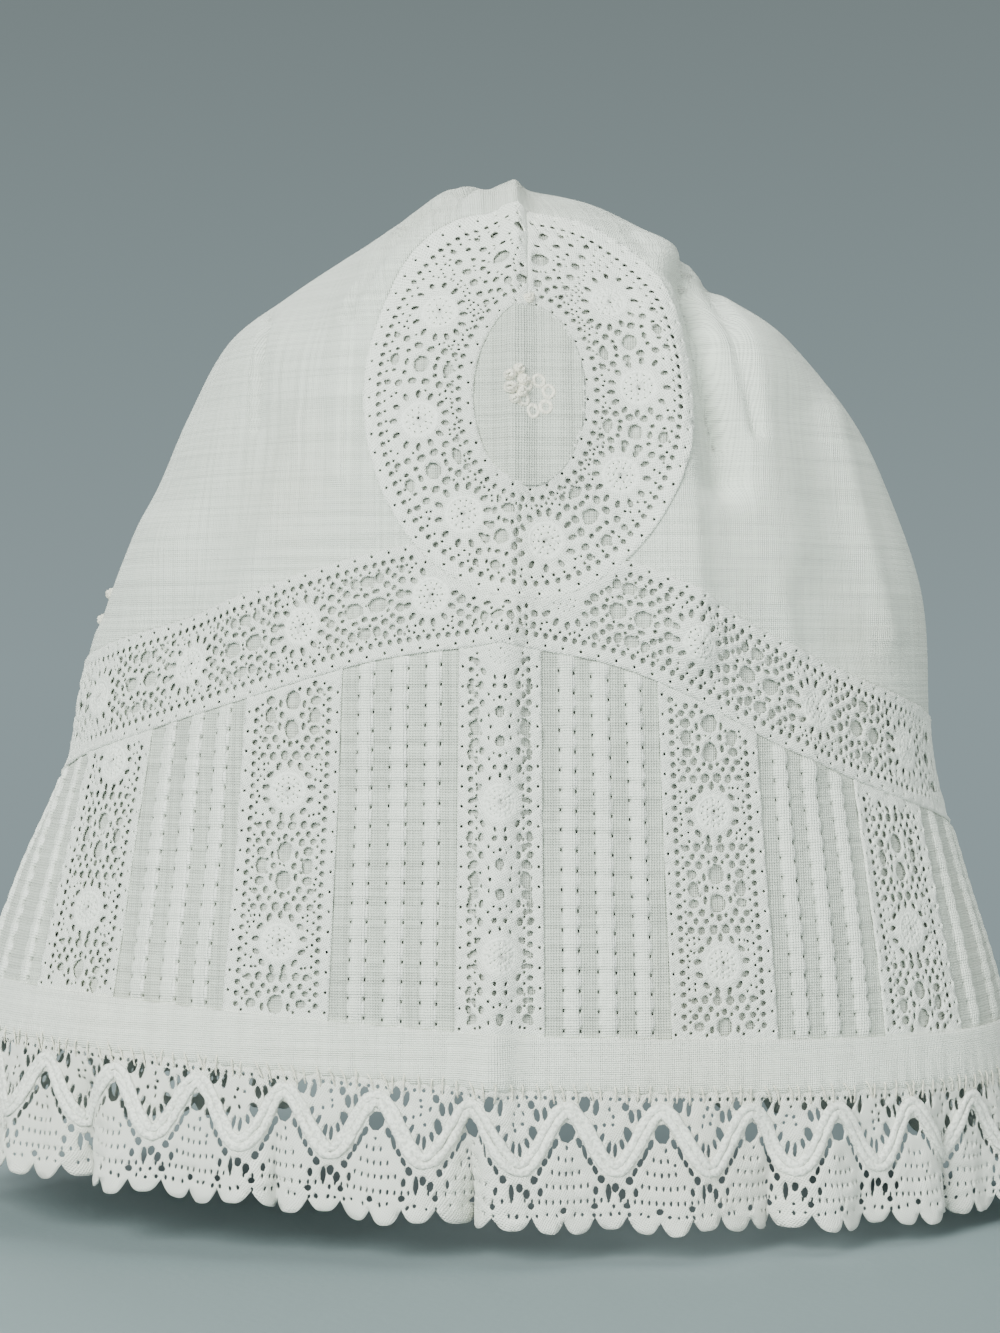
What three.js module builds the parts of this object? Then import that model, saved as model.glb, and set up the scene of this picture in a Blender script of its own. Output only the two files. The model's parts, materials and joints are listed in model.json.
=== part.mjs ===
// A baby bonnet of fine white cotton lawn with insertion lace and a gathered lace frill.
// Every piece lies on one bell-shaped shell. +Z is up to the crown, the front (-Y) is the face edge side.
// Lengths are in millimetres. The origin is where a head's crown bears on the lining, inside the top.
import * as THREE from "three";

// Sizes of the shell, measured over the outside of the cloth
const CROWN_HEIGHT = 124;
const RIM_LEFT = 76;
const RIM_RIGHT = 71;
const FRONT_DEPTH = 43;
const BACK_DEPTH = 41;

// Walls and clearances
const LAWN_WALL = 1.1;
const LACE_WALL = 1.2;
const HEM_WALL = 1.8;
const HEM_RISE = 0.5;
const SEAM_GAP = 0.3;

// Lining, seen through the gaps of the lace
const LINING_WALL = 1;
const LINING_DROP = 2.2;
const LINING_SPLIT_DROP = 8;

// Lace ring and roundel on the crown
const RING_OFFSET = 3.5;
const RING_DROP = 6.5;
const RING_HALF_WIDTH = 20.4;
const RING_HALF_HEIGHT = 25.5;
const ROUNDEL_HALF_WIDTH = 7.1;
const ROUNDEL_HALF_HEIGHT = 11.6;
const RING_WHEELS = 7;

// Lace band between crown and brim
const BAND_BELOW_RING = 5.5;
const BAND_RISE = 13.4;
const BAND_REPEAT = 18;

// Brim, widths measured round the face edge
const CENTRE_STRIP_WIDTH = 10.6;
const BRIM_LACE_WIDTH = 13.6;
const LACE_REPEAT = 18.5;
const LACE_FIRST_PAIR = 18.5;
const INNER_PANEL_WIDTH = 16;
const OUTER_PANEL_WIDTH = 16;
const SIDE_PANEL_WIDTH = 28;
const TUCK_WIDTH = 2.2;
const TUCK_RISE = 0.5;
const BRIM_TAPER = 0.1;
const HEM_HEIGHT = 6.2;
const FACE_RISE = 8;

// Neck opening at the back
const NECK_HALF_WIDTH = 28;
const NECK_RISE = 7;
const NECK_HEM_WIDTH = 3;

// Lace frill
const FRILL_DEPTH = 16.5;
const FRILL_FLARE = 2.5;
const FRILL_REPEAT = 11.6;
const FRILL_WALL = 1;
const GIMP_RISE = 0.5;
const GATHER_WAVE = 1.1;
const NOTCH_DEPTH = 3.6;
const NOTCH_WIDTH = 3.4;

// Embroidery and knots
const FLOWER_RADIUS = 3.4;
const FLOWER_HEIGHT = 0.8;
const EYELET_RADIUS = 0.8;
const KNOT_RADIUS = 0.8;

// Folds and dents
const FOLD_WIDTH = 5;
const FOLD_DEPTH = 3;

// Horizontal sections: height as a share of CROWN_HEIGHT, reaches as shares of the rim's own reaches.
const SECTIONS = [
  { height: 0, left: 1, right: 1, front: 1, back: 1 },
  { height: 0.1, left: 0.946, right: 0.965, front: 0.985, back: 0.98 },
  { height: 0.255, left: 0.847, right: 0.882, front: 0.945, back: 0.95 },
  { height: 0.363, left: 0.775, right: 0.83, front: 0.915, back: 0.92 },
  { height: 0.54, left: 0.688, right: 0.812, front: 0.87, back: 0.87 },
  { height: 0.661, left: 0.613, right: 0.742, front: 0.82, back: 0.81 },
  { height: 0.742, left: 0.559, right: 0.675, front: 0.76, back: 0.75 },
  { height: 0.819, left: 0.49, right: 0.558, front: 0.68, back: 0.66 },
  { height: 0.871, left: 0.385, right: 0.435, front: 0.6, back: 0.57 },
  { height: 0.927, left: 0.262, right: 0.322, front: 0.48, back: 0.45 },
  { height: 0.97, left: 0.16, right: 0.2, front: 0.33, back: 0.3 },
  { height: 1, left: 0, right: 0, front: 0, back: 0 },
];

// Lower edge of the band: distance along the face edge as a share of half of it, heights as shares of the
// height under the ring.
const BAND_LINE = [
  { along: 0, left: 1, right: 1 },
  { along: 0.08, left: 0.972, right: 0.962 },
  { along: 0.14, left: 0.93, right: 0.9 },
  { along: 0.22, left: 0.865, right: 0.79 },
  { along: 0.34, left: 0.775, right: 0.675 },
  { along: 0.5, left: 0.68, right: 0.59 },
  { along: 0.7, left: 0.62, right: 0.56 },
  { along: 1, left: 0.6, right: 0.56 },
];

// Lower edge of the hem: distance along the face edge as a share of half of it, heights as shares of
// FACE_RISE.
const FACE_LINE = [
  { along: 0, left: 0.81, right: 0.81 },
  { along: 0.15, left: 1.05, right: 0.7 },
  { along: 0.3, left: 1.24, right: 0.59 },
  { along: 0.45, left: 1.3, right: 0.59 },
  { along: 0.7, left: 1, right: 1 },
  { along: 0.85, left: 1, right: 1 },
  { along: 1, left: 1, right: 1 },
];

// Folds of the cloth seen from the front: both ends across as shares of the rim's reach and up as shares of
// CROWN_HEIGHT, width as a share of FOLD_WIDTH, rise as a share of FOLD_DEPTH (negative for a dent).
const FOLDS = [
  { name: "centre crease, crown", x0: 0.022, z0: 1.03, x1: 0.015, z1: 0.52, width: 0.38, rise: 0.45 },
  { name: "centre crease, brim", x0: 0.005, z0: 0.5, x1: -0.02, z1: -0.02, width: 0.5, rise: 0.75 },
  { name: "deep fold right of the ring", x0: 0.345, z0: 0.87, x1: 0.4, z1: 0.66, width: 0.55, rise: -1.1 },
  { name: "ridge beside the deep fold", x0: 0.3, z0: 0.9, x1: 0.33, z1: 0.5, width: 0.9, rise: 0.55 },
  { name: "puff outside the deep fold", x0: 0.45, z0: 0.8, x1: 0.52, z1: 0.6, width: 1.2, rise: 0.5 },
  { name: "fold over the ring, left", x0: -0.05, z0: 0.97, x1: -0.24, z1: 0.85, width: 0.55, rise: 0.6 },
  { name: "hollow left of that fold", x0: -0.16, z0: 0.97, x1: -0.34, z1: 0.84, width: 0.9, rise: -0.35 },
  { name: "soft fold low on the left", x0: -0.6, z0: 0.6, x1: -0.73, z1: 0.44, width: 1.1, rise: 0.5 },
  { name: "hollow above the left band", x0: -0.42, z0: 0.7, x1: -0.55, z1: 0.52, width: 1.4, rise: -0.4 },
  { name: "hollow above the right band", x0: 0.55, z0: 0.72, x1: 0.62, z1: 0.5, width: 1.3, rise: -0.45 },
];

// Inward folds of the frill, where the gathers overlap: distance along the face edge as a share of half of it.
const FRILL_NOTCHES = [
  { along: -0.29, depth: 0.7 },
  { along: -0.15, depth: 0.9 },
  { along: -0.016, depth: 1.2 },
  { along: 0.19, depth: 0.9 },
  { along: 0.34, depth: 0.8 },
  { along: 0.42, depth: 0.6 },
];

// Cloth colours, linear roughness and no metal
const LAWN_COLOUR = "#d3d8d0";
const SHEER_COLOUR = "#c4c9c1";
const LACE_COLOUR = "#dde1d9";
const FRILL_COLOUR = "#d9d9cf";
const THREAD_COLOUR = "#dcd8c4";

// Small number helpers
const clamp = THREE.MathUtils.clamp;
const lerp = THREE.MathUtils.lerp;

function evenly(from, to, steps) {
  return Array.from({ length: steps + 1 }, (_, i) => lerp(from, to, i / steps));
}

// Moves the entry nearest to a value onto it.
function snap(list, value) {
  const away = list.map((item) => Math.abs(item - value));
  list[away.indexOf(Math.min(...away))] = value;
}

// A smooth curve through one column of a table, with slopes from the neighbouring rows.
function columnCurve(table, key, value) {
  const at = table.map((row) => row[key]);
  const is = table.map(value);
  const slope = is.map((_, i) => {
    const before = Math.max(i - 1, 0);
    const after = Math.min(i + 1, is.length - 1);
    return (is[after] - is[before]) / (at[after] - at[before]);
  });
  return (place) => {
    const x = clamp(place, at[0], at[at.length - 1]);
    let row = 0;
    while (row < at.length - 2 && x > at[row + 1]) row += 1;
    const span = at[row + 1] - at[row];
    const t = (x - at[row]) / span;
    const rise = is[row + 1] - is[row];
    const startBend = slope[row] * span - rise;
    const endBend = rise - slope[row + 1] * span;
    return is[row] + t * rise + t * (1 - t) * ((1 - t) * startBend + t * endBend);
  };
}

// The half reach of the shell at a height. Squares are joined up, which rounds the top like a dome.
function reachCurve(column, full) {
  const square = columnCurve(SECTIONS, "height", (row) => row[column] ** 2);
  return (height) => full * Math.sqrt(Math.max(square(height / CROWN_HEIGHT), 1e-6));
}

const reachLeft = reachCurve("left", RIM_LEFT);
const reachRight = reachCurve("right", RIM_RIGHT);
const reachFront = reachCurve("front", FRONT_DEPTH);
const reachBack = reachCurve("back", BACK_DEPTH);

// How far out a point lies: 1 on the plain shell, less inside.
function outness(x, y, z) {
  const across = x / (x < 0 ? reachLeft(z) : reachRight(z));
  const deep = y / (y < 0 ? reachFront(z) : reachBack(z));
  return Math.hypot(across, deep);
}

const HEART_SHARE = 0.36;
const HEART = new THREE.Vector3(0, 0, HEART_SHARE * CROWN_HEIGHT);

function plainNormal(point) {
  const step = 0.02;
  const { x, y, z } = point;
  return new THREE.Vector3(
    outness(x + step, y, z) - outness(x - step, y, z),
    outness(x, y + step, z) - outness(x, y - step, z),
    outness(x, y, z + step) - outness(x, y, z - step),
  ).normalize();
}

// The point of the plain shell in a direction from a heart inside it.
function alongRay(direction, heart = HEART) {
  let near = 0;
  let far = 2 * CROWN_HEIGHT;
  for (let i = 0; i < 44; i += 1) {
    const middle = (near + far) / 2;
    const p = heart.clone().addScaledVector(direction, middle);
    if (p.z < CROWN_HEIGHT && outness(p.x, p.y, p.z) < 1) near = middle;
    else far = middle;
  }
  return heart.clone().addScaledVector(direction, near);
}

// A point of the plain shell seen from the front.
function fromFront(x, z) {
  const across = x / (x < 0 ? reachLeft(z) : reachRight(z));
  return new THREE.Vector3(x, -reachFront(z) * Math.sqrt(Math.max(1 - across * across, 0)), z);
}

// The rise of the cloth over the plain shell, from the table of folds. They fade out behind the sides.
function foldRise(point, folds = FOLDS, leastWidth = 0) {
  let rise = 0;
  for (const fold of folds) {
    const reach = fold.x0 + fold.x1 < 0 ? RIM_LEFT : RIM_RIGHT;
    const start = new THREE.Vector2(fold.x0 * reach, fold.z0 * CROWN_HEIGHT);
    const run = new THREE.Vector2(fold.x1 * reach, fold.z1 * CROWN_HEIGHT).sub(start);
    const from = new THREE.Vector2(point.x, point.z).sub(start);
    const along = clamp(from.dot(run) / run.lengthSq(), 0, 1);
    const away = from.addScaledVector(run, -along).length() / Math.max(fold.width * FOLD_WIDTH, leastWidth);
    rise += fold.rise * FOLD_DEPTH * Math.exp(-away * away);
  }
  const fade = THREE.MathUtils.smoothstep(-point.y, -0.25 * BACK_DEPTH, 0.25 * FRONT_DEPTH);
  return rise * fade;
}

// The folded cloth over a point of the plain shell, with its own normal.
function onCloth(point) {
  const normal = plainNormal(point);
  const step = 0.05;
  const slope = new THREE.Vector3(
    foldRise(new THREE.Vector3(point.x + step, point.y, point.z)) -
      foldRise(new THREE.Vector3(point.x - step, point.y, point.z)),
    0,
    foldRise(new THREE.Vector3(point.x, point.y, point.z + step)) -
      foldRise(new THREE.Vector3(point.x, point.y, point.z - step)),
  ).divideScalar(2 * step);
  const lifted = point.clone().addScaledVector(normal, foldRise(point));
  return { point: lifted, normal: normal.clone().sub(slope).normalize() };
}

// Distances round a section, from the front centre, right side positive
const TURN_STEPS = 48;

function sectionPoint(turn, height) {
  const side = turn < 0 ? reachLeft(height) : reachRight(height);
  const depth = Math.abs(turn) < Math.PI / 2 ? reachFront(height) : reachBack(height);
  return new THREE.Vector3(side * Math.sin(turn), -depth * Math.cos(turn), height);
}

function sectionLengths(side, height) {
  const lengths = [0];
  let last = sectionPoint(side * 1e-9, height);
  for (let i = 1; i <= TURN_STEPS; i += 1) {
    const next = sectionPoint((side * Math.PI * i) / TURN_STEPS, height);
    lengths.push(lengths[i - 1] + next.distanceTo(last));
    last = next;
  }
  return lengths;
}

function halfRound(side, height) {
  return sectionLengths(side, height)[TURN_STEPS];
}

function roundSection(distance, height) {
  const side = distance < 0 ? -1 : 1;
  const lengths = sectionLengths(side, height);
  const wanted = Math.min(Math.abs(distance), lengths[TURN_STEPS]);
  let step = 1;
  while (step < TURN_STEPS && lengths[step] < wanted) step += 1;
  const share = (wanted - lengths[step - 1]) / (lengths[step] - lengths[step - 1]);
  return sectionPoint((side * Math.PI * (step - 1 + share)) / TURN_STEPS, height);
}

// The brim narrows a little upwards: a place along the face edge and a height give a point of the shell.
const RING_CENTRE = CROWN_HEIGHT - RING_DROP - RING_HALF_HEIGHT;
const BAND_CENTRE = RING_CENTRE - RING_HALF_HEIGHT - BAND_BELOW_RING;

function taper(height) {
  return 1 - (BRIM_TAPER * height) / BAND_CENTRE;
}

function fromRim(along, height) {
  return roundSection(along * taper(height), height);
}

// Lower and upper edge of the lace band
const bandLeft = columnCurve(BAND_LINE, "along", (row) => row.left);
const bandRight = columnCurve(BAND_LINE, "along", (row) => row.right);
const RIM_HALF_LEFT = halfRound(-1, 0);
const RIM_HALF_RIGHT = halfRound(1, 0);

function bandFoot(along) {
  const share = along < 0 ? bandLeft(-along / RIM_HALF_LEFT) : bandRight(along / RIM_HALF_RIGHT);
  return BAND_CENTRE * share;
}

// Lower and upper edge of the hem, which is level at the neck
const faceLeft = columnCurve(FACE_LINE, "along", (row) => row.left);
const faceRight = columnCurve(FACE_LINE, "along", (row) => row.right);

function faceEdge(along) {
  return FACE_RISE * (along < 0 ? faceLeft(-along / RIM_HALF_LEFT) : faceRight(along / RIM_HALF_RIGHT));
}

function hemHead(along) {
  return faceEdge(along) + HEM_HEIGHT;
}

function ringOutline(turn, halfWidth, halfHeight) {
  return fromFront(RING_OFFSET - halfWidth * Math.sin(turn), RING_CENTRE - halfHeight * Math.cos(turn));
}

// Height of the ring's lower edge over a place on the brim, or Infinity beside the ring.
function ringFootHeight(along, height) {
  const across = (fromRim(along, height).x - RING_OFFSET) / (RING_HALF_WIDTH + SEAM_GAP);
  if (Math.abs(across) >= 1) return Infinity;
  return RING_CENTRE - (RING_HALF_HEIGHT + SEAM_GAP) * Math.sqrt(1 - across * across);
}

function bandHead(along) {
  const plain = bandFoot(along) + BAND_RISE;
  return Math.min(plain, ringFootHeight(along, plain));
}

// Where the band's upper edge meets the ring, on one side
function ringJunction(side) {
  let near = 0;
  let far = RING_HALF_WIDTH + Math.abs(RING_OFFSET);
  for (let i = 0; i < 40; i += 1) {
    const middle = (near + far) / 2;
    const plain = bandFoot(side * middle) + BAND_RISE;
    if (ringFootHeight(side * middle, plain) < plain) near = middle;
    else far = middle;
  }
  return side * near;
}

const JUNCTION_LEFT = ringJunction(-1);
const JUNCTION_RIGHT = ringJunction(1);

// Neck opening: an arch at the back centre, a little higher than the ends of the band
const BAND_END_HEIGHT = BAND_CENTRE * Math.max(bandLeft(1), bandRight(1)) + BAND_RISE;
const NECK_HEIGHT = BAND_END_HEIGHT + NECK_RISE;
const NECK_SEAM = NECK_HEM_WIDTH + SEAM_GAP;

function neckHalfWidth(height, offset) {
  const share = clamp(height / (NECK_HEIGHT + offset), 0, 1);
  return (NECK_HALF_WIDTH + offset) * Math.sqrt(1 - share * share);
}

function endOfBrim(side, height, offset = NECK_SEAM) {
  return (side * (halfRound(side, height) - neckHalfWidth(height, offset))) / taper(height);
}

// A closed solid of one sheet: a grid of cells between two skins. Cells named as gaps are left open.
function sheetSolid({ columns, rows, place, wall, rise = () => 0, isGap = () => false, closed = false }) {
  const wide = closed ? columns.length : columns.length - 1;
  const high = rows.length - 1;
  const positions = [];
  const centres = [];
  for (const v of rows) {
    for (const u of columns) {
      const { point, normal } = place(u, v);
      const outer = point.clone().addScaledVector(normal, rise(u, v));
      const inner = point.clone().addScaledVector(normal, -wall);
      positions.push(...outer.toArray(), ...inner.toArray());
      centres.push({ point, normal });
    }
  }
  const corner = (i, j) => j * columns.length + (i % columns.length);
  const first = centres[corner(0, 0)];
  const across = centres[corner(1, 0)].point.clone().sub(first.point);
  const upward = centres[corner(0, 1)].point.clone().sub(first.point);
  const facesOut = across.cross(upward).dot(first.normal) > 0;
  const present = (i, j) => {
    const column = closed ? (i + wide) % wide : i;
    return column >= 0 && column < wide && j >= 0 && j < high && !isGap(column, j);
  };
  const index = [];
  const quad = (a, b, c, d) => {
    if (facesOut) index.push(a, b, c, a, c, d);
    else index.push(a, c, b, a, d, c);
  };
  for (let j = 0; j < high; j += 1) {
    for (let i = 0; i < wide; i += 1) {
      if (!present(i, j)) continue;
      const [a, b, c, d] = [corner(i, j), corner(i + 1, j), corner(i + 1, j + 1), corner(i, j + 1)];
      quad(2 * a, 2 * b, 2 * c, 2 * d);
      quad(2 * a + 1, 2 * d + 1, 2 * c + 1, 2 * b + 1);
      if (!present(i, j - 1)) quad(2 * a, 2 * a + 1, 2 * b + 1, 2 * b);
      if (!present(i + 1, j)) quad(2 * b, 2 * b + 1, 2 * c + 1, 2 * c);
      if (!present(i, j + 1)) quad(2 * c, 2 * c + 1, 2 * d + 1, 2 * d);
      if (!present(i - 1, j)) quad(2 * d, 2 * d + 1, 2 * a + 1, 2 * a);
    }
  }
  const geometry = new THREE.BufferGeometry();
  geometry.setAttribute("position", new THREE.Float32BufferAttribute(positions, 3));
  geometry.setIndex(index);
  geometry.computeVertexNormals();
  return geometry;
}

// Materials
function cloth(colour, roughness) {
  return new THREE.MeshStandardMaterial({ color: colour, roughness, metalness: 0 });
}

const lawn = cloth(LAWN_COLOUR, 0.85);
const sheer = cloth(SHEER_COLOUR, 0.85);
const lace = cloth(LACE_COLOUR, 0.9);
const edging = cloth(FRILL_COLOUR, 0.9);
const thread = cloth(THREAD_COLOUR, 0.8);

// The seat of the head is the origin: the inside of the lining's top.
const bonnet = new THREE.Group();
bonnet.name = "baby_bonnet";
bonnet.position.z = LINING_DROP + LINING_WALL - CROWN_HEIGHT;

function add(name, geometry, material) {
  const mesh = new THREE.Mesh(geometry, material);
  mesh.name = name;
  bonnet.add(mesh);
  return mesh;
}

// The oval roundel: a square grid drawn out to an oval.
function roundelPlace(u, v) {
  const halfWidth = ROUNDEL_HALF_WIDTH - SEAM_GAP;
  const halfHeight = ROUNDEL_HALF_HEIGHT - SEAM_GAP;
  const x = RING_OFFSET + halfWidth * u * Math.sqrt(1 - (v * v) / 2);
  const z = RING_CENTRE + halfHeight * v * Math.sqrt(1 - (u * u) / 2);
  return onCloth(fromFront(x, z));
}

add(
  "crown_roundel",
  sheetSolid({ columns: evenly(-1, 1, 8), rows: evenly(-1, 1, 6), place: roundelPlace, wall: LAWN_WALL }),
  sheer,
);

// The ring of insertion lace: one round gap between each pair of wheels.
const RING_CELLS = 6;
const RING_ROWS = [0, 0.36, 0.64, 1];

function ringPlace(turn, share) {
  const halfWidth = lerp(ROUNDEL_HALF_WIDTH, RING_HALF_WIDTH, share);
  const halfHeight = lerp(ROUNDEL_HALF_HEIGHT, RING_HALF_HEIGHT, share);
  return onCloth(ringOutline(turn, halfWidth, halfHeight));
}

add(
  "crown_ring_lace",
  sheetSolid({
    columns: evenly(0, 2 * Math.PI, RING_CELLS * RING_WHEELS).slice(0, -1),
    rows: RING_ROWS,
    place: ringPlace,
    wall: LACE_WALL,
    isGap: (i, j) => i % RING_CELLS === RING_CELLS / 2 && j === 1,
    closed: true,
  }),
  lace,
);

// The crown cloth: a horseshoe from the ring's outer edge to the band, and over the top to the neck arch.
function archPoint(turn, offset) {
  const height = (NECK_HEIGHT + offset) * Math.sin(turn);
  const off = (NECK_HALF_WIDTH + offset) * Math.cos(turn);
  const side = off > 0 ? -1 : 1;
  return roundSection(side * (halfRound(side, height) - Math.abs(off)), height);
}

// The arch's turn where the upper edge of the band ends, on one side
function bandEnd(side) {
  let near = 0;
  let far = side < 0 ? RIM_HALF_LEFT : RIM_HALF_RIGHT;
  for (let i = 0; i < 40; i += 1) {
    const middle = (near + far) / 2;
    const height = bandHead(side * middle) + SEAM_GAP;
    if (middle < Math.abs(endOfBrim(side, height))) near = middle;
    else far = middle;
  }
  const height = bandHead(side * near) + SEAM_GAP;
  return { along: side * near, turn: Math.asin(height / (NECK_HEIGHT + NECK_SEAM)) };
}

const leftEnd = bandEnd(-1);
const rightEnd = bandEnd(1);
const FOOT_SAMPLES = 60;
const TIP_CUT = 2.4;
const TIP_SLANT = 0.6;
const aboveBand = (along) => fromRim(along, bandHead(along) + SEAM_GAP);
const footLeft = evenly(JUNCTION_LEFT - TIP_CUT, leftEnd.along, FOOT_SAMPLES).map(aboveBand);
const footArch = evenly(leftEnd.turn, Math.PI - rightEnd.turn, FOOT_SAMPLES).map((t) => archPoint(t, NECK_SEAM));
const footRight = evenly(rightEnd.along, JUNCTION_RIGHT + TIP_CUT, FOOT_SAMPLES).map(aboveBand);
const foot = [...footLeft, ...footArch, ...footRight];

const footLengths = [0];
foot.slice(1).forEach((point, i) => footLengths.push(footLengths[i] + point.distanceTo(foot[i])));
const FOOT_LENGTH = footLengths[footLengths.length - 1];

function crownFoot(share) {
  const wanted = share * FOOT_LENGTH;
  let step = 1;
  while (step < foot.length - 1 && footLengths[step] < wanted) step += 1;
  const span = Math.max(footLengths[step] - footLengths[step - 1], 1e-9);
  return foot[step - 1].clone().lerp(foot[step], clamp((wanted - footLengths[step - 1]) / span, 0, 1));
}

function ringTurnAt(along) {
  const point = fromRim(along, bandHead(along));
  const across = (RING_OFFSET - point.x) / (RING_HALF_WIDTH + SEAM_GAP);
  const down = (RING_CENTRE - point.z) / (RING_HALF_HEIGHT + SEAM_GAP);
  return Math.atan2(across, down);
}

// The tips of the horseshoe are cut blunt.
const TIP_TURN = (TIP_SLANT * TIP_CUT) / RING_HALF_WIDTH;
const TURN_LEFT = ringTurnAt(JUNCTION_LEFT) + TIP_TURN;
const TURN_RIGHT = 2 * Math.PI + ringTurnAt(JUNCTION_RIGHT) - TIP_TURN;

function crownPlace(u, v) {
  const turn = lerp(TURN_LEFT, TURN_RIGHT, u);
  const head = ringOutline(turn, RING_HALF_WIDTH + SEAM_GAP, RING_HALF_HEIGHT + SEAM_GAP);
  const from = head.sub(HEART).normalize();
  const to = crownFoot(u).sub(HEART).normalize();
  const angle = from.angleTo(to);
  const direction = from
    .multiplyScalar(Math.sin((1 - v) * angle))
    .addScaledVector(to, Math.sin(v * angle))
    .normalize();
  return onCloth(alongRay(direction));
}

// Rows are closer together near the ring, where the cloth turns over the top.
const CROWN_ROW_POWER = 1.3;
const crownRows = evenly(0, 1, 9).map((share) => share ** CROWN_ROW_POWER);
const crownColumns = evenly(0, 1, 42);
snap(crownColumns, footLengths[FOOT_SAMPLES] / FOOT_LENGTH);
snap(crownColumns, footLengths[2 * FOOT_SAMPLES + 1] / FOOT_LENGTH);
add(
  "crown_cloth",
  sheetSolid({ columns: crownColumns, rows: crownRows, place: crownPlace, wall: LAWN_WALL }),
  lawn,
);

// The lace band, clamped to the neck arch at both ends.
const BAND_ROWS = [0, 0.36, 0.64, 1];

function bandPlace(along, share) {
  let inside = along;
  let height = 0;
  for (let i = 0; i < 5; i += 1) {
    height = lerp(bandFoot(inside), bandHead(inside), share);
    inside = clamp(along, endOfBrim(-1, height), endOfBrim(1, height));
  }
  return onCloth(fromRim(inside, height));
}

// Under the ring the columns follow its arc. Outside it each repeat has one round gap between its wheels.
const BAND_GAP_FROM = 0.42;
const BAND_GAP_TO = 0.58;
const BAND_GAP_MOST = 0.2;
const UNDER_RING_STEPS = 12;

function bandColumns() {
  const shortest = Math.min(-endOfBrim(-1, BAND_CENTRE * bandLeft(1)), endOfBrim(1, BAND_CENTRE * bandRight(1)));
  const repeats = Math.floor(shortest / BAND_REPEAT);
  const list = evenly(JUNCTION_LEFT, JUNCTION_RIGHT, UNDER_RING_STEPS);
  for (let i = -repeats; i <= repeats; i += 1) {
    for (const share of [0, BAND_GAP_FROM, BAND_GAP_TO]) {
      const along = (i + share) * BAND_REPEAT;
      const beside = along < JUNCTION_LEFT - SEAM_GAP || along > JUNCTION_RIGHT + SEAM_GAP;
      if (beside && along <= repeats * BAND_REPEAT) list.push(along);
    }
  }
  list.push(2 * endOfBrim(-1, 0), 2 * endOfBrim(1, 0));
  return list.sort((one, other) => one - other);
}

const bandLines = bandColumns();

function bandGap(i, j) {
  const middle = (bandLines[i] + bandLines[i + 1]) / 2;
  const wide = bandLines[i + 1] - bandLines[i];
  const share = middle / BAND_REPEAT - Math.floor(middle / BAND_REPEAT);
  const beside = middle < JUNCTION_LEFT || middle > JUNCTION_RIGHT;
  const isMiddle = share > BAND_GAP_FROM && share < BAND_GAP_TO;
  return j === 1 && beside && isMiddle && wide < BAND_GAP_MOST * BAND_REPEAT;
}

add(
  "band_lace",
  sheetSolid({ columns: bandLines, rows: BAND_ROWS, place: bandPlace, wall: LACE_WALL, isGap: bandGap }),
  lace,
);

// Brim pieces stand between the hem and the band.
function brimPlace(from, to) {
  return (u, v) => {
    const along = lerp(from, to, u);
    return onCloth(fromRim(along, lerp(hemHead(along) + SEAM_GAP, bandFoot(along) - SEAM_GAP, v)));
  };
}

// A strip of insertion lace with a pair of round gaps between the wheels of each repeat.
const LACE_GAP = 2;
const LACE_BAR = 0.9;

function laceStrip(name, from, to) {
  const middle = (from + to) / 2;
  const tall = bandFoot(middle) - hemHead(middle) - 2 * SEAM_GAP;
  const halfGap = LACE_GAP / 2 / Math.abs(to - from);
  const rows = [0];
  const gapRows = [];
  for (let height = LACE_FIRST_PAIR; height + LACE_GAP + LACE_BAR < tall; height += LACE_REPEAT) {
    const lines = [-LACE_BAR / 2 - LACE_GAP, -LACE_BAR / 2, LACE_BAR / 2, LACE_BAR / 2 + LACE_GAP];
    gapRows.push(rows.length, rows.length + 2);
    rows.push(...lines.map((line) => (height + line) / tall));
    const next = height + LACE_REPEAT / 2;
    if (next < tall) rows.push(next / tall);
  }
  rows.push(1);
  const geometry = sheetSolid({
    columns: [0, 0.25, 0.5 - halfGap, 0.5 + halfGap, 0.75, 1],
    rows,
    place: brimPlace(from, to),
    wall: LACE_WALL,
    isGap: (i, j) => i === 2 && gapRows.includes(j),
  });
  add(name, geometry, lace);
}

// A panel of lawn with cabled tucks standing up in it, placed by shares of the panel's width
const THREE_TUCKS = [0.215, 0.5, 0.79];
const FOUR_TUCKS = [0.13, 0.37, 0.61, 0.85];

function tuckedPanel(name, from, to, tucks) {
  const half = TUCK_WIDTH / 2 / Math.abs(to - from);
  const crests = tucks.flatMap((middle) => [middle - half / 2, middle + half / 2]);
  const lines = tucks.flatMap((middle, i) => [middle - half, crests[2 * i], crests[2 * i + 1], middle + half]);
  const geometry = sheetSolid({
    columns: [0, ...lines, 1],
    rows: evenly(0, 1, 3),
    place: brimPlace(from, to),
    wall: LAWN_WALL,
    rise: (u) => (crests.includes(u) ? TUCK_RISE : 0),
  });
  add(name, geometry, sheer);
}

// The plain end of the brim, up to the neck hem.
function endPanel(name, from, side) {
  const place = (u, v) => {
    let height = FACE_RISE + HEM_HEIGHT;
    let along = lerp(from, endOfBrim(side, height), u);
    for (let i = 0; i < 5; i += 1) {
      height = lerp(hemHead(along) + SEAM_GAP, bandFoot(along) - SEAM_GAP, v);
      along = lerp(from, endOfBrim(side, height), u);
    }
    return onCloth(fromRim(along, height));
  };
  add(name, sheetSolid({ columns: evenly(0, 1, 8), rows: evenly(0, 1, 3), place, wall: LAWN_WALL }), lawn);
}

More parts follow.
